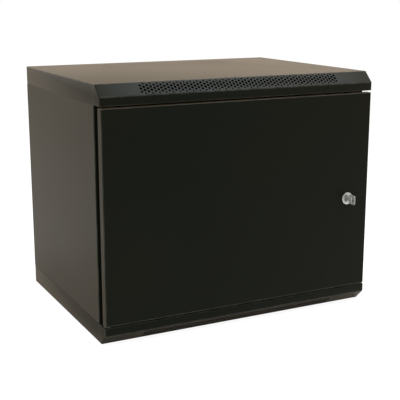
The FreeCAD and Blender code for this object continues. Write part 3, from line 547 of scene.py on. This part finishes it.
def recipe(name, named):
    """A geometry node group that takes a mesh and named sizes: its tree and its inputs."""
    group = bpy.data.node_groups.new(name, "GeometryNodeTree")
    face = group.interface
    face.new_socket("Geometry", in_out="INPUT", socket_type="NodeSocketGeometry")
    for word, kind in named.items():
        face.new_socket(word, in_out="INPUT", socket_type="NodeSocket" + kind)
    face.new_socket("Geometry", in_out="OUTPUT", socket_type="NodeSocketGeometry")
    tree = Tree(group)
    start = group.nodes.new("NodeGroupInput")
    return tree, {socket.name: Signal(tree, socket) for socket in start.outputs if socket.name}


def joined(tree, *parts):
    whole = tree.node("GeometryNodeJoinGeometry")
    for part in parts:
        tree.group.links.new(part.socket, whole.socket.node.inputs[0])
    return whole


def deliver(tree, geometry, finish):
    real = tree.node("GeometryNodeRealizeInstances", {}, {"Geometry": geometry})
    painted = tree.node("GeometryNodeSetMaterial", {}, {"Geometry": real, "Material": finish})
    tree.node("NodeGroupOutput", {}, {0: painted})


def grow(name, mesh, tree, values):
    """An object whose geometry tree works on a mesh with these sizes."""
    thing = new_object(name, mesh)
    modifier = thing.modifiers.new("Recipe", "NODES")
    modifier.node_group = tree.group
    for item in tree.group.interface.items_tree:
        if item.in_out == "INPUT" and item.name in values:
            modifier[item.identifier] = values[item.name]
    return thing


def shared(name, build):
    """The recipe of this name, built the first time that it is asked for."""
    group = bpy.data.node_groups.get(name)
    return Tree(group) if group else build()


def vent_recipe():
    """Fills the bevel with a sheet of staggered holes, larger in the middle rows."""
    tree, given = recipe("Vented bevel", {
        "Width": "Float", "Slope": "Float", "Pitch": "Float", "Step": "Float", "Columns": "Int",
        "Radius": "Float", "Next radius": "Float", "Outer radius": "Float",
        "Centre": "Vector", "Turn": "Vector", "Finish": "Material"})
    lattice = tree.node("GeometryNodeMeshGrid", {}, {
        "Size X": given["Pitch"] * (given["Columns"] - 1), "Size Y": given["Step"] * 6,
        "Vertices X": given["Columns"], "Vertices Y": 7})
    staggered = tree.node("GeometryNodeInputIndex") % 2
    position = tree.node("GeometryNodeInputPosition")
    height = abs(tree.node("ShaderNodeSeparateXYZ", {}, {"Vector": position}, output="Y"))
    middle = height < given["Step"] * 1.5
    outer = height > given["Step"] * 2.5
    radius = (given["Radius"] * middle + given["Outer radius"] * outer
              + given["Next radius"] * (1 - middle - outer))
    hole = tree.node("GeometryNodeCurvePrimitiveCircle", {}, {"Resolution": 12, "Radius": 1.0})
    scale = tree.node("ShaderNodeCombineXYZ", {}, {"X": radius, "Y": radius, "Z": radius})
    holes = tree.node("GeometryNodeInstanceOnPoints", {}, {
        "Points": lattice, "Selection": staggered, "Instance": hole, "Scale": scale})
    holes = tree.node("GeometryNodeRealizeInstances", {}, {"Geometry": holes})
    edge = tree.node("GeometryNodeCurvePrimitiveQuadrilateral", {}, {
        "Width": given["Width"], "Height": given["Slope"]})
    sheet = tree.node("GeometryNodeFillCurve", {}, {"Curve": joined(tree, holes, edge)})
    sheet = tree.node("GeometryNodeTransform", {}, {
        "Geometry": sheet, "Translation": given["Centre"], "Rotation": given["Turn"]})
    whole = tree.node("GeometryNodeMergeByDistance", {}, {
        "Geometry": joined(tree, given["Geometry"], sheet), "Distance": 2e-5})
    deliver(tree, whole, given["Finish"])
    return tree


def fastener_recipe():
    """Puts one fastener on each point, turned as the point says."""
    tree, given = recipe("Fasteners", {"Fastener": "Object", "Size": "Float",
                                       "Finish": "Material"})
    single = tree.node("GeometryNodeObjectInfo", {}, {"Object": given["Fastener"]},
                       output="Geometry")
    turn = tree.node("GeometryNodeInputNamedAttribute", {"data_type": "FLOAT_VECTOR"},
                     {"Name": "turn"})
    scale = tree.node("ShaderNodeCombineXYZ", {}, {word: given["Size"] for word in "XYZ"})
    placed = tree.node("GeometryNodeInstanceOnPoints", {}, {
        "Points": given["Geometry"], "Instance": single, "Rotation": turn, "Scale": scale})
    deliver(tree, placed, given["Finish"])
    return tree


def coil_recipe():
    """A closed-ended coil of round wire that stands on the point it is given."""
    tree, given = recipe("Coil spring", {
        "Turns": "Float", "Radius": "Float", "Height": "Float", "Wire": "Float",
        "Centre": "Vector", "Finish": "Material"})
    line = tree.node("GeometryNodeCurveSpiral", {}, {
        "Resolution": 28, "Rotations": given["Turns"], "Start Radius": given["Radius"],
        "End Radius": given["Radius"], "Height": given["Height"]})
    ring = tree.node("GeometryNodeCurvePrimitiveCircle", {}, {"Resolution": 8,
                                                              "Radius": given["Wire"]})
    wire = tree.node("GeometryNodeCurveToMesh", {}, {"Curve": line, "Profile Curve": ring,
                                                     "Fill Caps": True})
    wire = tree.node("GeometryNodeTransform", {}, {"Geometry": wire,
                                                   "Translation": given["Centre"]})
    deliver(tree, wire, given["Finish"])
    return tree


def weld_recipe():
    """A row of shallow spot weld marks along each edge of a mesh."""
    tree, given = recipe("Spot welds", {"Spacing": "Float", "Radius": "Float", "Rise": "Float",
                                        "Finish": "Material"})
    line = tree.node("GeometryNodeMeshToCurve", {}, {"Mesh": given["Geometry"]})
    points = tree.node("GeometryNodeCurveToPoints", {"mode": "LENGTH"},
                       {"Curve": line, "Length": given["Spacing"]})
    mark = tree.node("GeometryNodeMeshUVSphere", {}, {"Segments": 12, "Rings": 6, "Radius": 1.0})
    scale = tree.node("ShaderNodeCombineXYZ", {}, {"X": given["Radius"], "Y": given["Rise"],
                                                   "Z": given["Radius"]})
    placed = tree.node("GeometryNodeInstanceOnPoints", {}, {"Points": points, "Instance": mark,
                                                            "Scale": scale})
    deliver(tree, placed, given["Finish"])
    return tree


# ---- trays

def tray_shell(node, blank, pins):
    """The tray's outer skin without its vented bevel, and that bevel's size and place."""
    size = sizes()
    low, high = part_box(node)
    up = 1 if high.z > 0 else -1
    top, seam = (high.z, low.z) if up > 0 else (low.z, high.z)
    run = size.bevel_run
    section = [(low.y + run, top), (high.y, top), (high.y, seam), (low.y, seam),
               (low.y, top - up * run)]
    shape = bmesh.new()
    ends = [[shape.verts.new((x, y, z)) for y, z in section] for x in (low.x, high.x)]
    for end in ends:
        shape.faces.new(end)
    for step in range(5):
        after = (step + 1) % 5
        shape.faces.new((ends[0][step], ends[0][after], ends[1][after], ends[1][step]))
    bmesh.ops.recalc_face_normals(shape, faces=shape.faces)
    bmesh.ops.bevel(shape, geom=shape.edges[:], offset=size.fold, segments=4, profile=0.5,
                    affect="EDGES", clamp_overlap=True)
    shape.faces.ensure_lookup_table()
    flats = sorted(shape.faces, key=lambda face: -face.calc_area())

    def flat(normal):
        return next(face for face in flats if face.normal.angle(Vector(normal)) < 0.01)

    entry_low, entry_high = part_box(blank)
    margin = size.blank_margin
    entry = box_line(entry_low.x + margin, entry_high.x - margin,
                     entry_low.y + margin, entry_high.y - margin)
    mouth = box_line(low.x + size.side_lip, high.x - size.side_lip,
                     low.y + size.front_lip, high.y - size.rear_lip)
    mouth = rounded(mouth, 0.002, 3, closed=True)
    for normal, holes in (((0, 0, up), [entry]),
                          ((0, 0, -up), [mouth] + [circle_line(x, y, r, 24)
                                                   for x, y, r in pins])):
        face = flat(normal)
        corners = [(vert.co.x, vert.co.y) for vert in face.verts]
        height = face.verts[0].co.z
        flats.remove(face)
        bmesh.ops.delete(shape, geom=[face], context="FACES_ONLY")
        fill(shape, [corners] + holes, Matrix.Translation((0, 0, height)))
    slope = flat((0, -1, up))
    centre = slope.calc_center_median()
    width = max(vert.co.x for vert in slope.verts) - min(vert.co.x for vert in slope.verts)
    rise = max(vert.co.z for vert in slope.verts) - min(vert.co.z for vert in slope.verts)
    bmesh.ops.delete(shape, geom=[slope], context="FACES_ONLY")
    mesh = mesh_of(node + "_skin", shape)
    return mesh, centre, width, rise * math.sqrt(2), up


def make_tray(node, blank, pins):
    size = sizes()
    skin, centre, width, slope, up = tray_shell(node, blank, pins)
    thing = grow(node + "_sheet", skin, shared("Vented bevel", vent_recipe), {
        "Width": width, "Slope": slope, "Pitch": size.vent_pitch, "Step": size.vent_step,
        "Columns": size.vent_columns, "Radius": size.vent_radius,
        "Next radius": size.vent_radius_next, "Outer radius": size.vent_radius_outer,
        "Centre": centre, "Turn": (math.radians(45 if up > 0 else 135), 0.0, 0.0),
        "Finish": finish_for("black_paint")})
    wall = thing.modifiers.new("Sheet", "SOLIDIFY")
    wall.thickness = size.sheet
    wall.offset = -1.0
    wall.use_even_offset = True
    flat = thing.modifiers.new("Flats", "WEIGHTED_NORMAL")
    flat.keep_sharp = True
    settle(thing)
    place_piece(thing, "cabinet", [node])


class TraysOperator(bpy.types.Operator):
    """Fold the roof and floor trays, with their vented bevels"""

    bl_idname = "cabinet.trays"
    bl_label = "Vented trays"

    def execute(self, context):
        low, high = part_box("lower_hinge_pin")
        pins = [((low.x + high.x) / 2, (low.y + high.y) / 2, BORE)]
        low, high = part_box("frame_bolts")
        pins += [(x, y, BOLT_HOLE) for x in (low.x + HEXAGON, high.x - HEXAGON)
                 for y in (low.y + HALF_FLATS, high.y - HALF_FLATS)]
        low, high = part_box("back_bolts")
        pins += [(x, (low.y + high.y) / 2, BOLT_HOLE)
                 for x in (low.x + HEXAGON, high.x - HEXAGON)]
        make_tray("roof_tray", "roof_entry_blank", pins)
        make_tray("floor_tray", "floor_entry_blank", pins)
        return {"FINISHED"}


# ---- fasteners

def bolt_object(name, shank, sides=6):
    """One bolt on its seat: the crowned head above, the threaded shank below."""
    shape = bmesh.new()
    plate(shape, [circle_line(0, 0, HEXAGON, sides)], facing((0, 0, 0), X, Y), HEAD_FLANK)
    rim, crown = (0.0046, 0.0046) if sides == 6 else (0.0050, 0.0040)
    turned(shape, [(0.0, HEAD_FLANK), (rim, HEAD_FLANK), (crown, HEAD), (0.0, HEAD)],
           Vector(), Z, 24)
    profile = [(0.0, -shank), (0.0022, -shank)]
    profile += threaded(SHAFT, -shank + 0.0004, -0.0009, sizes().thread_pitch)
    profile += [(0.0027, -0.0004), (0.0027, 0.0), (0.0, 0.0)]
    turned(shape, profile, Vector(), Z, 20)
    return settle(soften(built(name, shape), 0.00025))


def hexagon_nut(name, place, tall):
    """A hexagon nut that grows from a place, with chamfered corners and a plain bore."""
    return stamped_piece(name, [circle_line(0, 0, HEXAGON, 6), circle_line(0, 0, BORE, 24)],
                         place, tall, 0.0004)


def points_mesh(name, places):
    """Points with a turn each: (x, y, z) and (turn about X)."""
    mesh = bpy.data.meshes.new(name)
    mesh.from_pydata([place for place, turn in places], [], [])
    turns = mesh.attributes.new("turn", "FLOAT_VECTOR", "POINT")
    turns.data.foreach_set("vector", [value for place, turn in places
                                      for value in (turn, 0.0, 0.0)])
    return mesh


def seats_of(node, reach):
    """Where a node's fasteners sit, above and below the middle; reach is the seat's distance
    from the box's outer end."""
    low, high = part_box(node)
    xs = sorted({round(low.x + HEXAGON, 6), round(high.x - HEXAGON, 6)})
    half_y = HEXAGON if node.endswith("rail_bolts") else HALF_FLATS
    ys = sorted({round(low.y + half_y, 6), round(high.y - half_y, 6)})
    return [((x, y, side * (high.z - reach)), 0.0 if side > 0 else math.pi)
            for x in xs for y in ys for side in (1, -1)]


def make_fasteners(node, body, single, reach):
    thing = grow(node + "_fitted", points_mesh(node + "_points", seats_of(node, reach)),
                 shared("Fasteners", fastener_recipe),
                 {"Fastener": single, "Size": 1.0, "Finish": finish_for("zinc_plate")})
    settle(thing)
    place_piece(thing, body, [node])


class FastenersOperator(bpy.types.Operator):
    """Bolts and nuts of the shell and of the rack rails"""

    bl_idname = "cabinet.fasteners"
    bl_label = "Bolts and nuts"

    def execute(self, context):
        nut = hexagon_nut("nut_pattern", facing((0, 0, -NUT), X, Y), NUT)
        hexagon = bolt_object("hexagon_bolt_pattern", 0.0089)
        short = bolt_object("short_bolt_pattern", 0.0077)
        round_head = bolt_object("round_bolt_pattern", 0.0089, 12)
        make_fasteners("frame_bolts", "cabinet", hexagon, HEAD)
        make_fasteners("back_bolts", "cabinet", short, HEAD)
        make_fasteners("frame_nuts", "cabinet", nut, 0.0)
        make_fasteners("back_nuts", "cabinet", nut, 0.0)
        for side in ("left", "right"):
            body = side + "_rail_set"
            make_fasteners(side + "_rail_bolts", body, round_head, HEAD)
            make_fasteners(side + "_rail_nuts", body, nut, 0.0)
        for pattern in (nut, hexagon, short, round_head):
            bpy.data.objects.remove(pattern)
        return {"FINISHED"}


class StudsOperator(bpy.types.Operator):
    """Threaded earth studs with their nuts"""

    bl_idname = "cabinet.studs"
    bl_label = "Earth studs"

    def execute(self, context):
        for word, body, axis in (("frame", "cabinet", Z), ("door", "door", Y)):
            node = word + "_earth_stud"
            low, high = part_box(node)
            tall = (high - low).dot(axis)
            foot = (low + high) / 2 - axis * (tall / 2)
            profile = [(0.0, 0.0), (0.0029, 0.0), (0.0029, 0.0008)]
            profile += threaded(0.0029, 0.0009, tall - 0.0006, sizes().thread_pitch)
            profile += [(0.0020, tall), (0.0, tall)]
            place_piece(turned_piece(node + "_thread", profile, foot, axis, 24), body, [node])

            node = word + "_earth_nut"
            low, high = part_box(node)
            tall = (high - low).dot(axis)
            seat = (low + high) / 2 - axis * (tall / 2)
            nut = hexagon_nut(node + "_hexagon", facing(seat, X, axis.cross(X)), tall)
            place_piece(nut, body, [node])
        return {"FINISHED"}


# ---- hinges

class HingesOperator(bpy.types.Operator):
    """Spring pin, coil spring, riveted lower pin and washer of the door"""

    bl_idname = "cabinet.hinges"
    bl_label = "Hinge pins"

    def execute(self, context):
        size = sizes()
        foot_low, foot_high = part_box("lower_hinge_pin")
        axis = Vector(((foot_low.x + foot_high.x) / 2, (foot_low.y + foot_high.y) / 2, 0))
        low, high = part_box("upper_hinge_pin")
        spring_low, spring_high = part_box("upper_hinge_spring")
        shape = bmesh.new()
        collar = spring_high.z
        profile = [(0, low.z), (SHAFT, low.z), (SHAFT, collar), (0.0040, collar),
                   (0.0040, collar + 0.0015), (SHAFT, collar + 0.0015), (SHAFT, high.z),
                   (0, high.z)]
        turned(shape, rounded(profile, [0, .0006, 0, .0003, .0003, 0, .0014, 0], 3), axis, Z, 32)
        arm = high.x - axis.x
        bar = [(0, 0.0022), (0.0021, 0.0022), (0.0021, arm - 0.0045), (0.0022, arm - 0.004),
               (0.0022, arm), (0, arm)]
        turned(shape, rounded(bar, [0, 0, .0004, 0, .0009, 0], 3),
               axis + Z * (low.z + 0.003), X, 24)
        pin = built("upper_hinge_pin_turned", shape)
        place_piece(settle(pin), "spring_pin", ["upper_hinge_pin"])

        tall = spring_high.z - spring_low.z
        wire = size.spring_wire
        start = bpy.data.meshes.new("spring_seat")
        spring = grow("upper_hinge_coil", start, coil_recipe(), {
            "Turns": float(size.spring_turns), "Radius": 0.0040 - wire, "Wire": wire,
            "Height": tall - 2 * wire, "Centre": axis + Z * (spring_low.z + wire),
            "Finish": finish_for("spring_steel")})
        settle(spring)
        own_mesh(place_piece(spring, "door", ["upper_hinge_spring"]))

        low, high = foot_low, foot_high
        seat = high.z - 0.002
        profile = [(0, low.z), (SHAFT, low.z), (SHAFT, seat), (0.0050, seat), (0.0050, high.z),
                   (0, high.z)]
        profile = rounded(profile, [0, .0014, 0, .0003, .0016, 0], 4)
        place_piece(turned_piece("lower_hinge_rivet", profile, axis, Z, 32), "door",
                    ["lower_hinge_pin"])

        low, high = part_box("lower_hinge_washer")
        ring = [(BORE, low.z), (0.0070, low.z), (0.0070, high.z), (BORE, high.z)]
        ring = rounded(ring, 0.0005, 3, closed=True)
        place_piece(turned_piece("lower_hinge_ring", ring, axis, Z, 40, closed=True), "door",
                    ["lower_hinge_washer"])
        return {"FINISHED"}


# ---- lock

def lock_place():
    """The lock's axis in the door's plane."""
    low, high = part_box("lock_housing")
    return Vector(((low.x + high.x) / 2, 0, (low.z + high.z) / 2))


def make_housing():
    low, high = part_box("lock_housing")
    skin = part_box("door_panel")[0].y
    rim, bore, barrel = (high.x - low.x) / 2, 0.00605, 0.0093
    pitch = sizes().thread_pitch
    profile = [(bore, low.y + 0.0006), (bore + 0.0006, low.y), (rim - 0.0030, low.y)]
    profile += [(rim - 0.0013, low.y + 0.0003), (rim - 0.0003, low.y + 0.0011),
                (rim, low.y + 0.0020), (rim, skin)]
    profile += [(barrel, skin), (barrel, skin + 0.0013)]
    profile += threaded(barrel, skin + 0.0014, high.y - 0.008, pitch)
    profile += [(barrel, high.y - 0.0075), (barrel, high.y - 0.0005),
                (barrel - 0.0005, high.y), (bore, high.y)]
    thing = turned_piece("lock_housing_turned", profile, lock_place(), Y, 64, True, 28.0)
    place_piece(thing, "door", ["lock_housing"])


def make_lock_nut():
    low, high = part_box("lock_nut")
    loops = [circle_line(0, 0, (high.x - low.x) / 2, 6), circle_line(0, 0, 0.00935, 40)]
    nut = stamped_piece("lock_nut_hexagon", loops, facing(lock_place() + Y * high.y, X, Z),
                        high.y - low.y, 0.0006)
    place_piece(nut, "door", ["lock_nut"])


def make_plug():
    low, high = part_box("lock_plug")
    cam_low, cam_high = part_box("lock_cam")
    middle, radius = lock_place(), 0.0059
    keyway = rounded(box_line(-0.00115, 0.00115, -0.00415, 0.00415), 0.0003, 2, closed=True)
    deep = 0.0243
    front = stamped_piece("plug_front", [circle_line(0, 0, radius, 48), keyway],
                          facing(middle + Y * (low.y + deep), X, Z), deep, 0.0004)
    shape = bmesh.new()
    shape.from_mesh(front.data)
    bpy.data.objects.remove(front)
    turned(shape, [(0, low.y + deep), (radius, low.y + deep), (radius, cam_low.y),
                   (0, cam_low.y)], middle, Y, 48)
    plate(shape, [square_line(PLUG_SQUARE)],
          facing(middle + Y * high.y, X, Z), high.y - cam_low.y)
    thing = settle(built("lock_plug_slotted", shape))
    place_piece(thing, "lock_turn_set", ["lock_plug"])


def make_key():
    """A flat key: a bow with rounded corners round a wide ring hole, and a cut blade."""
    low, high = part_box("key")
    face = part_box("lock_plug")[0].y
    middle = lock_place()
    half, blade = (high.z - low.z) / 2, 0.0040
    tip, bow = high.y, low.y
    neck = face - 0.0045
    top = [(bow, -half), (neck, -half), (neck, -blade - 0.001), (face, -blade),
           (tip - 0.002, -blade), (tip, -0.0015), (tip, 0.0015), (tip - 0.003, 0.0030)]
    cuts = (0.0018, 0.0030, 0.0010, 0.0024, 0.0014)
    step = 0.0036
    place = tip - 0.0050
    for cut in cuts:
        top += [(place, blade - cut * 0.2), (place - 0.0009, blade - cut),
                (place - 0.0020, blade - cut)]
        place -= step
    top += [(face, blade), (neck, blade + 0.001), (neck, half), (bow, half)]
    count = len(top)
    radii = [0.0040, 0.0030, 0.0008] + [0.0003] * (count - 6) + [0.0008, 0.0030, 0.0040]
    outline = rounded(top, radii, 4, closed=True)
    ring = rounded(box_line(bow + 0.0062, bow + 0.0122, -0.0054, 0.0054), 0.0020, 5, closed=True)
    thing = stamped_piece("key_cut", [outline, ring], facing((low.x, 0, middle.z), Y, Z),
                          high.x - low.x, 0.00035)
    place_piece(thing, "lock_turn_set", ["key"], lines_of="key")


def make_cam():
    low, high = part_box("lock_cam")
    middle = lock_place()
    reach, half = high.z - middle.z, (high.x - low.x) / 2
    arm = rounded([(-half, -half), (half, -half), (half, reach), (-half, reach)],
                  [0.0075, 0.0075, 0.0045, 0.0045], 6, closed=True)
    thing = stamped_piece("lock_cam_stamped", [arm, square_line(CAM_SQUARE)],
                          facing(middle + Y * high.y, X, Z), high.y - low.y, 0.0004)
    place_piece(thing, "lock_turn_set", ["lock_cam"])

    low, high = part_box("cam_screw")
    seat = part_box("lock_cam")[1].y
    shape = bmesh.new()
    turned(shape, rounded([(0, low.y), (0.0019, low.y), (0.0019, seat), (0.0049, seat),
                           (0.0049, high.y), (0, high.y)],
                          [0, .0004, 0, .0003, .0014, 0], 4), middle, Y, 32)
    screw = built("cam_screw_slotted", shape)
    cutter = bmesh.new()
    plate(cutter, [box_line(-0.006, 0.006, -0.0006, 0.0006)],
          facing(middle + Y * (high.y + 0.001), X, Z), 0.0022)
    tool = built("screw_slot_tool", cutter)
    slot = screw.modifiers.new("Slot", "BOOLEAN")
    slot.object = tool
    slot.solver = "EXACT"
    settle(screw)
    bpy.data.objects.remove(tool)
    place_piece(screw, "lock_turn_set", ["cam_screw"])


class LockOperator(bpy.types.Operator):
    """Quarter turn lock: housing, nut, plug, key, cam and screw"""

    bl_idname = "cabinet.lock"
    bl_label = "Lock and key"

    def execute(self, context):
        make_housing()
        make_lock_nut()
        make_plug()
        make_key()
        make_cam()
        return {"FINISHED"}


# ---- small pieces of the door and the shell

class BuffersOperator(bpy.types.Operator):
    """Rubber door buffers on the right side panel"""

    bl_idname = "cabinet.buffers"
    bl_label = "Door buffers"

    def execute(self, context):
        low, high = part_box("door_buffers")
        x, half, rise = (low.x + high.x) / 2, (high.x - low.x) / 2, 0.010
        outline = rounded(box_line(-half, half, -rise, rise), 0.0030, 5, closed=True)
        shape = bmesh.new()
        for z in (low.z + rise, high.z - rise):
            plate(shape, [outline], facing(Vector((x, high.y, z)), X, Z), high.y - low.y)
        thing = soften(built("door_buffers_moulded", shape), 0.0014, 3)
        place_piece(settle(thing), "cabinet", ["door_buffers"])
        return {"FINISHED"}


class WeldsOperator(bpy.types.Operator):
    """Spot weld marks on the door stiffener's flanges"""

    bl_idname = "cabinet.welds"
    bl_label = "Spot welds"

    def execute(self, context):
        size = sizes()
        low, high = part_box("door_stiffener")
        y = low.y + size.sheet
        flange, end = 0.0055, 0.018    # from the stiffener's edge and from its ends
        corners, rows = [], []
        for x in (low.x + flange, high.x - flange):
            corners += [(x, y, low.z + end), (x, y, high.z - end)]
            rows.append((len(corners) - 2, len(corners) - 1))
        line = bpy.data.meshes.new("weld_rows")
        line.from_pydata(corners, rows, [])
        thing = grow("stiffener_welds", line, weld_recipe(), {
            "Spacing": size.weld_spacing, "Radius": size.weld_radius, "Rise": 0.00035,
            "Finish": finish_for("black_paint", "door")})
        settle(thing)
        place_piece(thing, "door", [], "black_paint", "door")
        return {"FINISHED"}


class FinishesOperator(bpy.types.Operator):
    """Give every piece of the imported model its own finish"""

    bl_idname = "cabinet.finishes"
    bl_label = "Finishes"

    def execute(self, context):
        bodies = {node: body for body, nodes in frame["record"]["behaviour"]["bodies"].items()
                  for node in nodes}
        for node, thing in frame["nodes"].items():
            lines_of = "door" if bodies[node] == "door" else "shell"
            finish = finish_for(SLOT_OF[node], lines_of)
            if not thing.material_slots:
                thing.data.materials.append(finish)
            for slot in thing.material_slots:
                slot.material = finish
        return {"FINISHED"}


# ---- stage

def studio_floor():
    """Pale floor that takes the cabinet's shadow, looks white and is clear from below."""
    material = bpy.data.materials.new("studio_floor_finish")
    tree = emptied(material)
    camera, glossy, passed = rays(tree)
    straight, mirrored = 0.80, 0.35    # how much of the floor is plain white to such a ray
    seen = (camera * straight).most(glossy.most(passed) * mirrored)
    tone = (*colours().floor, 1.0)
    matt = tree.node("ShaderNodeBsdfDiffuse", {}, {"Color": tone})
    glow = tree.node("ShaderNodeEmission", {}, {"Color": WHITE, "Strength": 1.15})
    look = tree.node("ShaderNodeMixShader", {}, {0: seen, 1: matt, 2: glow})
    under = tree.node("ShaderNodeNewGeometry", output="Backfacing")
    clear = tree.node("ShaderNodeBsdfTransparent")
    look = tree.node("ShaderNodeMixShader", {}, {0: under, 1: look, 2: clear})
    tree.node("ShaderNodeOutputMaterial", {}, {"Surface": look})
    return material


def soft_lamp(name, place, target, wide, deep, watts, tone=(1.0, 1.0, 1.0)):
    lamp = bpy.data.lights.new(name, "AREA")
    lamp.shape = "RECTANGLE"
    lamp.size, lamp.size_y = wide, deep
    lamp.energy = watts
    lamp.color = tone
    thing = new_object(name, lamp)
    thing.location = place
    thing.rotation_euler = (Vector(target) - Vector(place)).to_track_quat("-Z", "Y").to_euler()


class StageOperator(bpy.types.Operator):
    """Camera, floor, world and soft lamps"""

    bl_idname = "cabinet.stage"
    bl_label = "Studio"

    def execute(self, context):
        scene = context.scene
        scene.view_settings.view_transform = "Standard"
        lens = bpy.data.cameras.new("studio_camera")
        lens.lens = 80.17
        lens.sensor_width = 36.0
        view = new_object("studio_camera", lens)
        view.location = (-0.85442, -1.93824, 0.41404)
        view.rotation_euler = (math.radians(76.684), 0.0, math.radians(-26.914))
        scene.camera = view

        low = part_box("floor_tray")[0]
        mesh = bpy.data.meshes.new("studio_floor")
        far, level = 12.0, low.z - 0.0004
        mesh.from_pydata([(-far, -far, level), (far, -far, level), (far, far, level),
                          (-far, far, level)], [], [(0, 1, 2, 3)])
        floor = new_object("studio_floor", mesh)
        mesh.materials.append(studio_floor())

        world = bpy.data.worlds.new("studio_world")
        scene.world = world
        tree = emptied(world)
        camera, glossy, passed = rays(tree)
        seen = camera.most(glossy).most(passed)
        soft = tree.node("ShaderNodeBackground", {}, {"Color": (1.0, 0.985, 0.96, 1.0),
                                                      "Strength": 0.55})
        white = tree.node("ShaderNodeBackground", {}, {"Color": WHITE, "Strength": 1.0})
        sky = tree.node("ShaderNodeMixShader", {}, {0: seen, 1: soft, 2: white})
        tree.node("ShaderNodeOutputWorld", {}, {"Surface": sky})

        soft_lamp("overhead_lamp", (0.82, -0.70, 2.1), (0.0, -0.45, 0.25), 0.8, 1.6, 80.0,
                  (0.90, 0.97, 1.0))
        soft_lamp("left_lamp", (-2.0, -0.7, 0.9), (0.0, -0.2, 0.0), 1.4, 1.0, 22.0)
        soft_lamp("back_lamp", (-1.7, 2.0, 0.8), (0.0, 0.0, 0.0), 1.6, 1.0, 18.0)
        soft_lamp("right_lamp", (2.3, 0.3, 0.9), (0.2, -0.2, 0.0), 1.4, 1.0, 12.0)
        return {"FINISHED"}


class CabinetPanel(bpy.types.Panel):
    """Lists the cabinet's pieces, sizes and colours"""

    bl_idname = "CABINET_PT_pieces"
    bl_label = "Network cabinet"
    bl_space_type = "VIEW_3D"
    bl_region_type = "UI"
    bl_category = "Cabinet"

    def draw(self, context):
        for operator in OPERATORS:
            self.layout.operator(operator.bl_idname)
        for group in (context.scene.cabinet_sizes, context.scene.cabinet_colours):
            box = self.layout.box()
            for word in group.__annotations__:
                box.prop(group, word)


OPERATORS = (StageOperator, FinishesOperator, TraysOperator, FastenersOperator, StudsOperator,
             HingesOperator, LockOperator, BuffersOperator, WeldsOperator)
CLASSES = (CabinetSizes, CabinetColours, *OPERATORS, CabinetPanel)


def register():
    for item in CLASSES:
        bpy.utils.register_class(item)
    bpy.types.Scene.cabinet_sizes = PointerProperty(type=CabinetSizes)
    bpy.types.Scene.cabinet_colours = PointerProperty(type=CabinetColours)


def unregister():
    del bpy.types.Scene.cabinet_sizes
    del bpy.types.Scene.cabinet_colours
    for item in reversed(CLASSES):
        bpy.utils.unregister_class(item)


def main():
    register()
    for operator in OPERATORS:
        group, word = operator.bl_idname.split(".")
        getattr(getattr(bpy.ops, group), word)()


if __name__ == "__main__":
    main()
